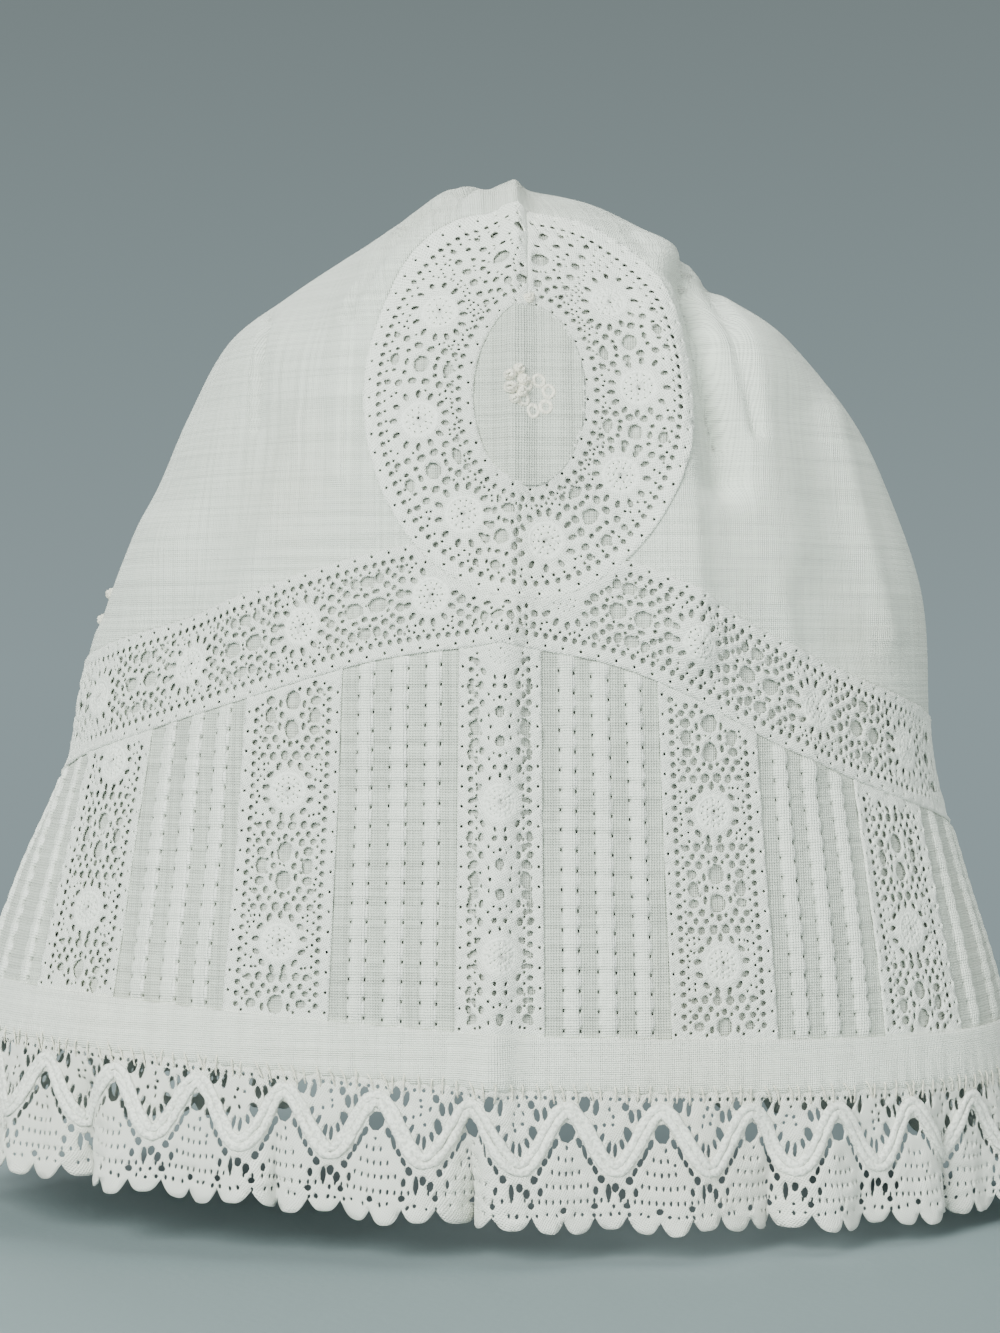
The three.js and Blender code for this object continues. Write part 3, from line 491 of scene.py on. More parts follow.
# ---------------------------------------------------------------- meshes
def make_piece(name, points, faces, material, slot, replaces=(), grain_at=None, marks=None):
    """A mesh object that rides on the bonnet. Points are in millimetres. grain_at is the grain of each point
    or, with a third axis, of each face's corners. marks are named values at each point."""
    mesh = bpy.data.meshes.new(name)
    world = (np.asarray(points) + [0, 0, SEAT_DROP - CROWN_HEIGHT]) * MM
    mesh.from_pydata(world.tolist(), [], faces if isinstance(faces, list) else faces.tolist())
    mesh.polygons.foreach_set("use_smooth", np.ones(len(mesh.polygons), bool))
    if grain_at is not None:
        corner = np.zeros(len(mesh.loops), np.int32)
        mesh.loops.foreach_get("vertex_index", corner)
        laid = grain_at if grain_at.ndim == 3 else grain_at[corner]
        layer = mesh.uv_layers.new(name="Grain")
        layer.data.foreach_set("uv", laid.astype(np.float32).ravel())
    for mark, values in (marks or {}).items():
        attribute = mesh.attributes.new(mark, "FLOAT", "POINT")
        attribute.data.foreach_set("value", np.asarray(values, np.float32))
    mesh.update()
    mesh.materials.append(material)
    piece = bpy.data.objects.new(name, mesh)
    bpy.context.scene.collection.objects.link(piece)
    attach(piece, "root")
    if replaces:
        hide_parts(*replaces)
    return piece


def grid_sheet(across, upward, place, wall, lift=None, gap=None, closed=False, marks=None):
    """A closed sheet of two skins over a grid. Returns its points, faces, grain and marks."""
    u, v = (grid.ravel() for grid in np.meshgrid(across, upward))
    points, normals = place(u, v)
    raised = 0 if lift is None else lift(u, v)[:, None]
    outer = points + normals * raised
    inner = points - normals * (wall - np.minimum(raised, 0))
    wide = len(across) if closed else len(across) - 1
    high = len(upward) - 1
    i, j = np.meshgrid(np.arange(wide), np.arange(high))
    corner = [j * len(across) + i, j * len(across) + (i + 1) % len(across)]
    corner += [corner[1] + len(across), corner[0] + len(across)]
    present = np.ones((high, wide), bool) if gap is None else ~gap
    padded = np.pad(present, 1)
    if closed:
        padded[1:-1, 0] = present[:, -1]
        padded[1:-1, -1] = present[:, 0]
    beside = [padded[:-2, 1:-1], padded[1:-1, 2:], padded[2:, 1:-1], padded[1:-1, :-2]]
    count = len(points)
    quads = [np.stack(corner, axis=-1)[present]]
    quads.append(quads[0][:, ::-1] + count)
    for k in range(4):
        edge = present & ~beside[k]
        one = corner[k][edge]
        other = corner[(k + 1) % 4][edge]
        quads.append(np.stack([one, one + count, other + count, other], axis=1))
    faces = np.concatenate(quads)
    first = [c[present][0] for c in corner]
    facing = np.cross(points[first[1]] - points[first[0]], points[first[3]] - points[first[0]])
    if facing @ normals[first[0]] < 0:
        faces = faces[:, ::-1]
    kept, faces = np.unique(faces, return_inverse=True)
    faces = faces.reshape(-1, 4)
    marked = {name: np.tile(values, 2)[kept] for name, values in (marks(u, v) if marks else {}).items()}
    laid = corner_grain(np.tile(points, (2, 1))[kept], faces)
    return np.concatenate([outer, inner])[kept], faces, laid, marked


def sheet_piece(name, slot, material, replaces, *sheet_words, **sheet_settings):
    points, faces, laid, marked = grid_sheet(*sheet_words, **sheet_settings)
    return make_piece(name, points, faces, material, slot, replaces, laid, marked)


def evenly(start, stop, step):
    return np.linspace(start, stop, max(int(round(abs(stop - start) / step)), 1) + 1)


# A lace hole: its place on the lace, its two half widths and the turn of the first one
Hole = namedtuple("Hole", "s t half other turn")
BIG_HOLE = 0.75
HOLE_CORNERS = (6, 8)
HOLE_ROUGHNESS = (0.88, 1.1)
THREAD_ROUND = 0.17
HOLE_CLEARANCE = 0.36
FILLER_SHIFT = 0.25
RIM_THINNESS = 0.35
FLAT_LIMIT = 1e-6


def local_frame(place, s, t):
    """How far a step in s and in t moves along and square to the lace: three numbers at each place."""
    step = 0.05
    ahead = (place(s + step, t)[0] - place(s - step, t)[0]) / (2 * step)
    up = (place(s, t + step)[0] - place(s, t - step)[0]) / (2 * step)
    run = np.linalg.norm(ahead, axis=1)
    lean = (up * ahead).sum(axis=1) / run
    return run, lean, np.sqrt(np.maximum((up * up).sum(axis=1) - lean**2, FLAT_LIMIT))


def lace_mesh(outline, holes, place, relief, spacing, seed):
    """Pierced lace: triangles between the outline and the holes, in two skins with a round edge."""
    rng = np.random.default_rng(seed)
    holes = np.array(holes, float)
    run, lean, tall = local_frame(place, holes[:, 0], holes[:, 1])
    points = [np.asarray(outline, float)]
    faces = [list(range(len(outline)))]
    count = len(outline)
    for k, (s, t, half, other, turn) in enumerate(holes):
        corners = HOLE_CORNERS[int(half + other > BIG_HOLE)]
        angle = np.arange(corners) * 2 * math.pi / corners + rng.uniform(0, 1)
        rough = rng.uniform(*HOLE_ROUGHNESS, corners)
        for extra in (0, THREAD_ROUND):
            x = (half * rough + extra) * np.cos(angle)
            y = (other * rough + extra) * np.sin(angle)
            out = (x * math.sin(turn) + y * math.cos(turn)) / tall[k]
            ahead = (x * math.cos(turn) - y * math.sin(turn) - lean[k] * out) / run[k]
            points.append(np.stack([s + ahead, t + out], axis=1))
            if not extra:
                faces.append(list(range(count, count + corners)))
            count += corners
    low, high = points[0].min(axis=0), points[0].max(axis=0)
    rows = [np.arange(low[k], high[k], spacing) for k in (0, 1)]
    s, t = (grid.ravel() for grid in np.meshgrid(*rows))
    filler = np.stack([s, t], axis=1) + rng.uniform(-FILLER_SHIFT, FILLER_SHIFT, (len(s), 2)) * spacing
    clear = np.ones(len(filler), bool)
    for k, (s, t, half, other, turn) in enumerate(holes):
        near = np.flatnonzero(np.abs(filler[:, 0] - s) < half + other + 1)
        away = filler[near] - [s, t]
        x = away[:, 0] * run[k] + away[:, 1] * lean[k]
        y = away[:, 1] * tall[k]
        first = (x * math.cos(turn) + y * math.sin(turn)) / (half + HOLE_CLEARANCE)
        second = (y * math.cos(turn) - x * math.sin(turn)) / (other + HOLE_CLEARANCE)
        clear[near[first**2 + second**2 < 1]] = False
    points.append(filler[clear])
    flat = [Vector(p) for p in np.concatenate(points)]
    found = delaunay_2d_cdt(flat, [], faces, 1, 1e-5)
    spread = np.array([tuple(p) for p in found[0]])
    triangles = np.array([f for f, origin in zip(found[2], found[5]) if list(origin) == [0]])
    kept, triangles = np.unique(triangles, return_inverse=True)
    triangles = triangles.reshape(-1, 3)
    spread = spread[kept]
    edges = np.concatenate([triangles[:, [0, 1]], triangles[:, [1, 2]], triangles[:, [2, 0]]])
    _, where, uses = np.unique(np.sort(edges, axis=1), axis=0, return_index=True, return_counts=True)
    rim = edges[where[uses == 1]]
    at_rim = np.zeros(len(spread), bool)
    at_rim[rim] = True
    middle, normals = place(spread[:, 0], spread[:, 1])
    lift, half_wall = relief(spread[:, 0], spread[:, 1], middle)
    half_wall = np.where(at_rim, RIM_THINNESS * half_wall, half_wall)
    top = middle + normals * (lift + half_wall)[:, None]
    bottom = middle + normals * (lift - half_wall)[:, None]
    a, b, c = (middle[triangles[:, k]] for k in range(3))
    facing = (np.cross(b - a, c - a) * normals[triangles[:, 0]]).sum(axis=1)
    if np.median(facing) < 0:
        triangles = triangles[:, ::-1]
        rim = rim[:, ::-1]
    total = len(spread)
    walls = [rim[:, ::-1].tolist(), (rim + total).tolist()]
    sides = [[r[0], r[1], q[0], q[1]] for r, q in zip(*walls)]
    faces = triangles.tolist() + (triangles[:, ::-1] + total).tolist() + sides
    return np.concatenate([top, bottom]), faces, np.concatenate([spread, spread])


def tube(path, radius, facing, sides=6, closed=False, flat=1.0):
    """A thread along a path. facing is roughly square to it, and flat is its thickness that way."""
    path = np.asarray(path, float)
    if closed:
        ahead = np.roll(path, -1, axis=0) - np.roll(path, 1, axis=0)
    else:
        ahead = np.gradient(path, axis=0)
    ahead = unit(ahead)
    side = unit(np.cross(ahead, facing))
    up = np.cross(side, ahead)
    turn = np.arange(sides) * 2 * math.pi / sides
    radius = np.broadcast_to(radius, (len(path),))[:, None, None]
    wide = np.cos(turn)[:, None] * side[:, None]
    high = flat * np.sin(turn)[:, None] * up[:, None]
    ring = path[:, None] + radius * (wide + high)
    faces = []
    steps = len(path) if closed else len(path) - 1
    for i in range(steps):
        here = i * sides
        there = (i + 1) % len(path) * sides
        for k in range(sides):
            after = (k + 1) % sides
            faces.append([here + k, here + after, there + after, there + k])
    if not closed:
        faces.append(list(range(sides))[::-1])
        faces.append([(len(path) - 1) * sides + k for k in range(sides)])
    return ring.reshape(-1, 3), faces


def join(parts):
    points = []
    faces = []
    count = 0
    for some_points, some_faces in parts:
        points.append(some_points)
        faces.extend([[index + count for index in face] for face in some_faces])
        count += len(some_points)
    return np.concatenate(points), faces


# ---------------------------------------------------------------- materials
class Shader:
    """A small helper that links nodes of one material."""

    def __init__(self, name):
        self.material = bpy.data.materials.new(name)
        self.material.use_nodes = True
        self.tree = self.material.node_tree
        self.surface = self.tree.nodes["Principled BSDF"]

    def node(self, kind, inputs=(), output=0, **settings):
        made = self.tree.nodes.new("ShaderNode" + kind)
        for key, value in settings.items():
            setattr(made, key, value)
        for key, value in dict(inputs).items():
            if hasattr(value, "node"):
                self.tree.links.new(value, made.inputs[key])
            else:
                made.inputs[key].default_value = value
        return made.outputs[output]

    def math(self, operation, one, other=0.0):
        return self.node("Math", {0: one, 1: other}, operation=operation)

    def ramp(self, value, low, high, start=0.0, end=1.0):
        words = {"Value": value, "From Min": low, "From Max": high, "To Min": start, "To Max": end}
        return self.node("MapRange", words, interpolation_type="SMOOTHSTEP")

    def noise(self, vector, scale, detail=3.0):
        return self.node("TexNoise", {"Vector": vector, "Scale": scale, "Detail": detail})

    def mix_colour(self, share, one, other):
        words = {0: share, 6: one, 7: other}
        return self.node("Mix", words, output=2, data_type="RGBA")

    def darken(self, colour, share, depth):
        """The colour, darker by depth where share is 1."""
        kept = self.math("SUBTRACT", 1.0, self.math("MULTIPLY", share, depth))
        return self.node("VectorMath", {0: colour, "Scale": kept}, operation="SCALE")

    def finish(self, colour, height, depth, roughness, sheen):
        self.tree.links.new(colour, self.surface.inputs["Base Color"])
        bump = self.node("Bump", {"Height": height, "Distance": depth, "Strength": 1.0})
        self.tree.links.new(bump, self.surface.inputs["Normal"])
        self.surface.inputs["Roughness"].default_value = roughness
        self.surface.inputs["Sheen Weight"].default_value = sheen
        self.surface.inputs["Sheen Roughness"].default_value = 0.5
        self.surface.inputs["Specular IOR Level"].default_value = 0.25
        return self.material


# Aged cotton, cloth that lies double, a painted highlight on the lit edge of a fold, and the threads of a
# lace wheel
CREAM = (0.72, 0.62, 0.44, 1)
DOUBLE_COLOUR = (0.85, 0.9, 0.81)
FOLD_HIGHLIGHT_COLOUR = (0.93, 0.96, 0.9)
WHEEL_THREAD = 0.5
WHEEL_SPOKES = 18.0
YELLOWED = (((0.024, -0.045, -0.117), 0.02), ((0.052, -0.028, -0.06), 0.014))


def aged(shader, colour):
    """Faint cream clouds, stronger near the hem's right and the notch at the right side."""
    place = shader.node("NewGeometry")
    cloud = shader.ramp(shader.noise(place, 30.0, 4.0), 0.5, 0.75, 0.0, 0.12)
    for spot, reach in YELLOWED:
        away = shader.node("VectorMath", {0: place, 1: spot}, output=1, operation="DISTANCE")
        cloud = shader.math("ADD", cloud, shader.ramp(away, reach, 0.0, 0.0, 0.14))
    return shader.mix_colour(cloud, colour, CREAM)


def cloth_material(name, colour, pitch, gaps, depth, slub):
    """Plain weave: rows of warp and weft with small gaps between them painted darker as shade, threads of
    uneven thickness, and a painted highlight on the lit edges of folds.
    """
    shader = Shader(name)
    laid = shader.node("UVMap", uv_map="Grain")
    place = shader.node("NewGeometry")
    wobble = shader.math("MULTIPLY", shader.math("SUBTRACT", shader.noise(place, 260.0, 2.0), 0.5), 0.5)
    split = shader.node("SeparateXYZ", {0: laid}, output=0)
    parts = split.node
    waves = []
    slubs = []
    for axis in (0, 1):
        thread = shader.math("ADD", shader.math("DIVIDE", parts.outputs[axis], pitch), wobble)
        waves.append(shader.math("COSINE", shader.math("MULTIPLY", thread, 2 * math.pi)))
        stretch = (1 / pitch, 0.05, 1) if axis == 0 else (0.05, 1 / pitch, 1)
        streak = shader.node("VectorMath", {0: laid, 1: stretch}, operation="MULTIPLY")
        slubs.append(shader.noise(streak, 0.55, 2.0))
    uneven = shader.math("ADD", *slubs)
    height = shader.math("ADD", *(shader.math("MULTIPLY", *pair) for pair in zip(waves, slubs)))
    hollow = shader.ramp(height, -0.35, -0.95)
    base = shader.darken(rgb(shader, colour), shader.ramp(uneven, 0.85, 1.25), slub)
    double = shader.node("Attribute", output=2, attribute_name="double")
    # The edge mark says where the lit edge of a fold gets its painted highlight
    edge = shader.node("Attribute", output=2, attribute_name="edge")
    base = shader.mix_colour(double, base, rgb(shader, DOUBLE_COLOUR))
    single = shader.math("SUBTRACT", 1.0, shader.math("MULTIPLY", double, 0.7))
    # Painted shade in the hollows between the threads, weaker where the cloth lies double
    base = shader.darken(base, shader.math("MULTIPLY", hollow, single), gaps)
    # Painted highlight: the lit right edge of each tuck is painted lighter
    base = shader.mix_colour(edge, base, rgb(shader, FOLD_HIGHLIGHT_COLOUR))
    return shader.finish(aged(shader, base), height, depth, 0.9, 0.25)


def rgb(shader, colour):
    made = shader.node("RGB")
    made.default_value = (*colour, 1)
    return made


def lace_material(name, colour, thread, depth):
    """Bobbin lace threads: fine crossing strands and dotted rings on the wheels, with painted shade between
    them.
    """
    shader = Shader(name)
    laid = shader.node("UVMap", uv_map="Grain")
    wheel = shader.node("Attribute", output=2, attribute_name="wheel")
    along = shader.node("Attribute", output=2, attribute_name="along")
    across = shader.node("Attribute", output=2, attribute_name="across")
    spoke = shader.math("ARCTAN2", across, along)
    circles = shader.math("SINE", shader.math("MULTIPLY", wheel, 2 * math.pi / WHEEL_THREAD))
    spokes = shader.math("SINE", shader.math("MULTIPLY", spoke, WHEEL_SPOKES))
    rings = shader.math("MULTIPLY", shader.math("ADD", circles, spokes), 0.45)
    bent = shader.noise(laid, 0.7, 2.0)
    strands = []
    for direction in ((1, 0.55, 0), (-0.6, 1, 0)):
        place = shader.node("VectorMath", {0: laid, 1: direction}, output=1, operation="DOT_PRODUCT")
        shifted = shader.math("ADD", shader.math("DIVIDE", place, thread), shader.math("MULTIPLY", bent, 1.6))
        strands.append(shader.math("SINE", shader.math("MULTIPLY", shifted, 2 * math.pi)))
    net = shader.math("MAXIMUM", *strands)
    on_wheel = shader.ramp(wheel, 2.6, 2.1)
    height = shader.node("Mix", {0: on_wheel, 2: net, 3: rings})
    # Painted shade between the crossing strands and between the wheel's rings and spokes, where the bump is
    # low
    base = shader.darken(rgb(shader, colour), shader.ramp(height, 0.0, -0.9), 0.2)
    base = shader.darken(base, on_wheel, 0.07)
    return shader.finish(aged(shader, base), height, depth, 0.88, 0.3)


def thread_material(name, colour):
    shader = Shader(name)
    place = shader.node("NewGeometry")
    fuzz = shader.noise(place, 2600.0, 3.0)
    # Darker where the fuzz's bump is low: painted shade in its hollows
    base = shader.darken(rgb(shader, colour), shader.ramp(fuzz, 0.6, 0.35), 0.3)
    return shader.finish(base, fuzz, 0.0002, 0.85, 0.3)


# Colour, distance between threads, darkness of the painted shade in the gaps, height of the weave, darkness
# of thick threads
LAWN = cloth_material("lawn_weave", (0.77, 0.83, 0.745), 0.27, 0.34, 0.00008, 0.07)
# The sheer lawn is darker than LAWN: painted shade of the dark inside seen through the sheer cloth
SHEER_PAINTED_SHADE = cloth_material("sheer_lawn_weave_painted_shade", (0.63, 0.68, 0.6), 0.34, 0.5, 0.0001, 0.09)
LINING = cloth_material("lining_weave", (0.62, 0.665, 0.595), 0.32, 0.5, 0.00008, 0.12)
LACE = lace_material("insertion_lace_thread", (0.895, 0.94, 0.86), 0.3, 0.00006)
EDGING = lace_material("edging_lace_thread", (0.87, 0.9, 0.82), 0.3, 0.00006)
THREAD = thread_material("embroidery_thread", (0.87, 0.85, 0.72))
CORD = thread_material("cord_thread", (0.88, 0.905, 0.83))


# ---------------------------------------------------------------- crown
def roundel_place(u, v):
    half_width = ROUNDEL_HALF_WIDTH + SEAM_LAP
    half_height = ROUNDEL_HALF_HEIGHT + SEAM_LAP
    x = RING_OFFSET + half_width * u * np.sqrt(1 - v**2 / 2)
    z = RING_CENTRE + half_height * v * np.sqrt(1 - u**2 / 2)
    return on_cloth(from_front(x, z))


ROUNDEL_CREASE = -0.32


def roundel_lift(u, v):
    """The centre crease of the roundel, and its right part that lies a little higher."""
    ridge = np.exp(-(((u - ROUNDEL_CREASE) / 0.09) ** 2))
    step = 0.35 * soft_step((u - ROUNDEL_CREASE) / 0.25)
    return 0.3 * ridge + step


roundel_grid = (np.linspace(-1, 1, 41), np.linspace(-1, 1, 61), roundel_place, LAWN_WALL)
sheet_piece("crown_roundel_cloth", "sheer_lawn", SHEER_PAINTED_SHADE, ["crown_roundel"], *roundel_grid, lift=roundel_lift)

# Insertion lace. Holes from a wheel towards the middle between it and the next one, in a long and a short
# repeat: place along and across, half widths along and across. Those off the centre line come in pairs.
LACE_MESH = 0.62
BAND_MESH = 0.7
WHEEL_RADIUS = 2.3
FAR_FROM_WHEEL = 6.0
# Holes round a wheel's middle: two rounds of pinholes in it and the long eyelets about it, as radius, count
# and half widths
WHEEL_ROUNDS = ((0.9, 6, 0.12, 0.1), (1.6, 12, 0.12, 0.1), (3.35, 13, 0.58, 0.36))
LONG_SPAN = 20
LONG_MOTIF = (
    (4.65, 0.85, 0.62, 0.6), (4.5, 2.5, 0.55, 0.5), (4.6, 3.95, 0.42, 0.5), (5.75, 1.75, 0.36, 0.36),
    (5.75, 3.2, 0.42, 0.38), (6.15, 0, 0.45, 0.42), (6.5, 0.95, 0.3, 0.28), (6.85, 2.35, 0.52, 0.46),
    (6.7, 3.9, 0.4, 0.48), (8.1, 0, 1.28, 1.04), (8.05, 3.35, 0.6, 0.72), (8.5, 1.75, 0.52, 0.3),
    (10, 3.3, 1.08, 0.78), (10, 1.5, 0.46, 0.4), (9.15, 2.45, 0.24, 0.24),
)
SHORT_SPAN = 13
SHORT_MOTIF = (
    (4.5, 0.85, 0.5, 0.6), (4.2, 2.6, 0.5, 0.5), (4.2, 3.95, 0.42, 0.48), (5.35, 1.95, 0.34, 0.36),
    (6.5, 0, 1.15, 1.0), (6.5, 3.45, 0.9, 0.66), (6.5, 1.85, 0.52, 0.32), (5.45, 3.35, 0.26, 0.34),
)
SPAN_CHANGE = 15.5
LACE_NET_PITCH = 0.62
LACE_NET_SHIFT = 0.12
LACE_NET_ROOM = 0.44
# Columns of holes along both edges: distance from the edge, pitch, half widths
EDGE_COLUMNS = (
    (0.42, NEEDLE_PITCH, NEEDLE_HOLE, NEEDLE_HOLE), (1.62, 1.34, 0.36, 0.4), (2.4, 1.34, 0.2, 0.22)
)


def wheel_motif(wheels):
    """Holes round and between wheels that stand along a lace, as along and across, with their turn."""
    found = []
    for wheel in wheels:
        found.append((wheel + 0.25, 0.15, 0.2, 0.2, 0.0))
        for radius, count, half, other in WHEEL_ROUNDS:
            for turn in np.arange(count) * 2 * math.pi / count:
                place = (wheel + radius * math.cos(turn), radius * math.sin(turn))
                found.append((*place, half, other, float(turn)))
    for start, end in zip(wheels, wheels[1:]):
        span = end - start
        motif, full = (LONG_MOTIF, LONG_SPAN) if span > SPAN_CHANGE else (SHORT_MOTIF, SHORT_SPAN)
        scale = span / full
        for from_wheel, across, half, other in motif:
            for from_end in (0, 1):
                if from_end and abs(from_wheel - full / 2) < 0.01:
                    continue
                along = mix(start, end, 0.5) + (1 if from_end else -1) * (full / 2 - from_wheel) * scale
                for side in (-1, 1):
                    if side < 0 and across == 0:
                        continue
                    found.append((along, side * across, half * min(1, scale + 0.08), other, 0.0))
    return found


def net_between(drawn, wheels, start, end, reach, seed):
    """Small holes wherever there is room between the drawn ones and off the wheels."""
    rng = np.random.default_rng(seed)
    taken = np.array([(h[0], h[1], (h[2] + h[3]) / 2) for h in drawn])
    wheel_at = np.array(wheels)
    found = []
    for across in np.arange(-reach, reach + 0.01, LACE_NET_PITCH):
        near = taken[np.abs(taken[:, 1] - across) < 2]
        for along in np.arange(start, end, LACE_NET_PITCH) + rng.uniform(0, LACE_NET_PITCH):
            at = np.array([along, across]) + rng.uniform(-LACE_NET_SHIFT, LACE_NET_SHIFT, 2)
            room = (np.hypot(*(near[:, :2] - at).T) - near[:, 2]).min()
            off_wheel = np.hypot(wheel_at - at[0], at[1]).min() > WHEEL_RADIUS + 0.6
            if room > LACE_NET_ROOM and off_wheel:
                found.append((*at, rng.uniform(0.15, 0.22), rng.uniform(0.15, 0.24), rng.uniform(0, 3)))
                near = np.vstack([near, [*at, 0.2]])
    return found


def edge_columns(start, end, half_width, pace=lambda across: 1.0):
    """Needle holes and the two columns of small holes along both edges of an insertion lace."""
    found = []
    for inset, pitch, half, other in EDGE_COLUMNS:
        for side in (-1, 1):
            across = side * (half_width - inset)
            step = pitch / pace(across)
            first = start + step * (1.0 if inset == EDGE_COLUMNS[-1][0] else 0.5)
            found += [(along, across, half, other, 0.0) for along in np.arange(first, end - 0.4 * step, step)]
    return found


# Heights on an insertion lace: rolled edge, domed wheel, waves, and their shares in its thickness
ROLL_LIFT = 0.14
DOME_LIFT = 0.1
WAVE_LIFT = 0.07
ROLL_WALL = 0.1
DOME_WALL = 0.06
UNEVEN_WALL = 0.12


def lace_relief(edge_distance, wheels_at, seed):
    """Lift and half thickness of the lace: rolled edges, domed wheels and uneven threads."""

    def relief(s, t, points):
        away = np.min(np.linalg.norm(points[:, None] - wheels_at[None], axis=2), axis=1)
        dome = np.maximum(1 - (away / (WHEEL_RADIUS + 0.3)) ** 2, 0)
        roll = soft_step((EDGE_ROLL - edge_distance(s, t)) / EDGE_ROLL)
        uneven = ripple(points, 1.5, seed)
        half = LACE_HALF_WALL * (1 + UNEVEN_WALL * uneven) + ROLL_WALL * roll + DOME_WALL * np.sqrt(dome)
        return WAVE_LIFT * ripple(points, 3.2, seed + 1) + ROLL_LIFT * roll + DOME_LIFT * dome, half

    return relief


def lace_piece(name, node, outline, holes, place, edge_distance, wheels, spacing, seed):
    """An insertion lace in place of a node. Its marks say where each point lies from the nearest wheel."""
    wheels_at = place(np.array([w[0] for w in wheels]), np.array([w[1] for w in wheels]))[0]
    relief = lace_relief(edge_distance, wheels_at, seed)
    points, faces, laid = lace_mesh(outline, holes, place, relief, spacing, seed)
    apart = np.linalg.norm(points[:, None] - wheels_at[None], axis=2)
    off = laid - np.array(wheels)[np.argmin(apart, axis=1)]
    nearest = np.minimum(apart.min(axis=1), FAR_FROM_WHEEL)
    marks = {"wheel": nearest, "along": off[:, 0], "across": off[:, 1]}
    return make_piece(name, points, faces, LACE, "insertion_lace", [node], laid, marks)


# The ring's lace starts and ends in the crease at the top. Wheels as turns from the lowest point.
RING_WIDTH = RING_HALF_WIDTH - ROUNDEL_HALF_WIDTH
RING_HALF_BAND = RING_WIDTH / 2
MIDDLE_WIDTH = (RING_HALF_WIDTH + ROUNDEL_HALF_WIDTH) / 2
MIDDLE_HEIGHT = (RING_HALF_HEIGHT + ROUNDEL_HALF_HEIGHT) / 2
ring_turns = np.linspace(-math.pi, math.pi, 721)
ring_steps = np.hypot(MIDDLE_WIDTH * np.diff(np.sin(ring_turns)), MIDDLE_HEIGHT * np.diff(np.cos(ring_turns)))
ring_lengths = np.concatenate([[0], np.cumsum(ring_steps)])
RING_LENGTH = ring_lengths[-1]
RING_WHEEL_TURNS = (-2.3, -1.62, -0.99, -0.16, 0.62, 1.4, 2.2)
ring_wheels = [float(np.interp(turn, ring_turns, ring_lengths)) for turn in RING_WHEEL_TURNS]


def ring_place(s, t):
    turn = np.interp(s, ring_lengths, ring_turns)
    share = (t + RING_HALF_BAND) / RING_WIDTH
    half_width = mix(ROUNDEL_HALF_WIDTH, RING_HALF_WIDTH, share)
    half_height = mix(ROUNDEL_HALF_HEIGHT, RING_HALF_HEIGHT, share)
    return on_cloth(ring_outline(turn, half_width, half_height))


def ring_pace(across):
    share = (across + RING_HALF_BAND) / RING_WIDTH
    width = mix(ROUNDEL_HALF_WIDTH, RING_HALF_WIDTH, share)
    height = mix(ROUNDEL_HALF_HEIGHT, RING_HALF_HEIGHT, share)
    return (width + height) / (MIDDLE_WIDTH + MIDDLE_HEIGHT)


def box_outline(left, right, low, high, step):
    s = evenly(left, right, step)
    t = evenly(low, high, step)
    bottom = np.stack([s, 0 * s + low], axis=1)
    top = np.stack([s, 0 * s + high], axis=1)[::-1]
    start = np.stack([0 * t + left, t], axis=1)[::-1]
    end = np.stack([0 * t + right, t], axis=1)
    return np.concatenate([bottom[:-1], end[:-1], top[:-1], start[:-1]])


RING_EDGE = RING_HALF_BAND + SEAM_GAP / 2 + SEAM_LAP
ring_all_wheels = [ring_wheels[-1] - RING_LENGTH, *ring_wheels, ring_wheels[0] + RING_LENGTH]
ring_holes = wheel_motif(ring_all_wheels) + edge_columns(0, RING_LENGTH, RING_HALF_BAND, ring_pace)
ring_holes += net_between(ring_holes, ring_all_wheels, 1, RING_LENGTH - 1, RING_HALF_BAND - 2, 61)
lace_piece(
    "crown_ring_insertion", "crown_ring_lace", box_outline(0, RING_LENGTH, -RING_EDGE, RING_EDGE, 0.8),
    [h for h in ring_holes if 0.5 < h[0] < RING_LENGTH - 0.5], ring_place,
    lambda s, t: RING_EDGE - np.abs(t), [(w, 0.0) for w in ring_wheels], LACE_MESH, 3,
)

# Crown cloth
FOOT_SAMPLES = 80
TIP_CUT = 0.4


def above_band(along):
    return from_rim(along, band_head(along) + SEAM_GAP / 2)


def band_end(side):
    far = RIM_HALF_LEFT if side < 0 else RIM_HALF_RIGHT

    def test(distance):
        return distance[0] < abs(end_of_brim(side, band_head(side * distance))[0])

    near = side * last_true(test, far)
    height = band_head(np.array([near]))[0]
    return near, math.asin(height / (NECK_HEIGHT + NECK_SEAM))


left_end, left_turn = band_end(-1)
right_end, right_turn = band_end(1)
crown_foot = np.concatenate(
    [
        above_band(np.linspace(JUNCTION_LEFT - TIP_CUT, left_end, FOOT_SAMPLES)),
        arch_point(np.linspace(left_turn, math.pi - right_turn, FOOT_SAMPLES), NECK_SEAM - SEAM_GAP / 2),
        above_band(np.linspace(right_end, JUNCTION_RIGHT + TIP_CUT, FOOT_SAMPLES)),
    ]
)
foot_lengths = np.concatenate([[0], np.cumsum(np.linalg.norm(np.diff(crown_foot, axis=0), axis=1))])
foot_lengths /= foot_lengths[-1]


def ring_turn_at(along):
    along = np.array([along])
    point = from_rim(along, band_head(along))[0]
    across = (RING_OFFSET - point[0]) / (RING_HALF_WIDTH + SEAM_GAP)
    down = (RING_CENTRE - point[2]) / (RING_HALF_HEIGHT + SEAM_GAP)
    return math.atan2(across, down)


TURN_LEFT = ring_turn_at(JUNCTION_LEFT)
TURN_RIGHT = 2 * math.pi + ring_turn_at(JUNCTION_RIGHT)


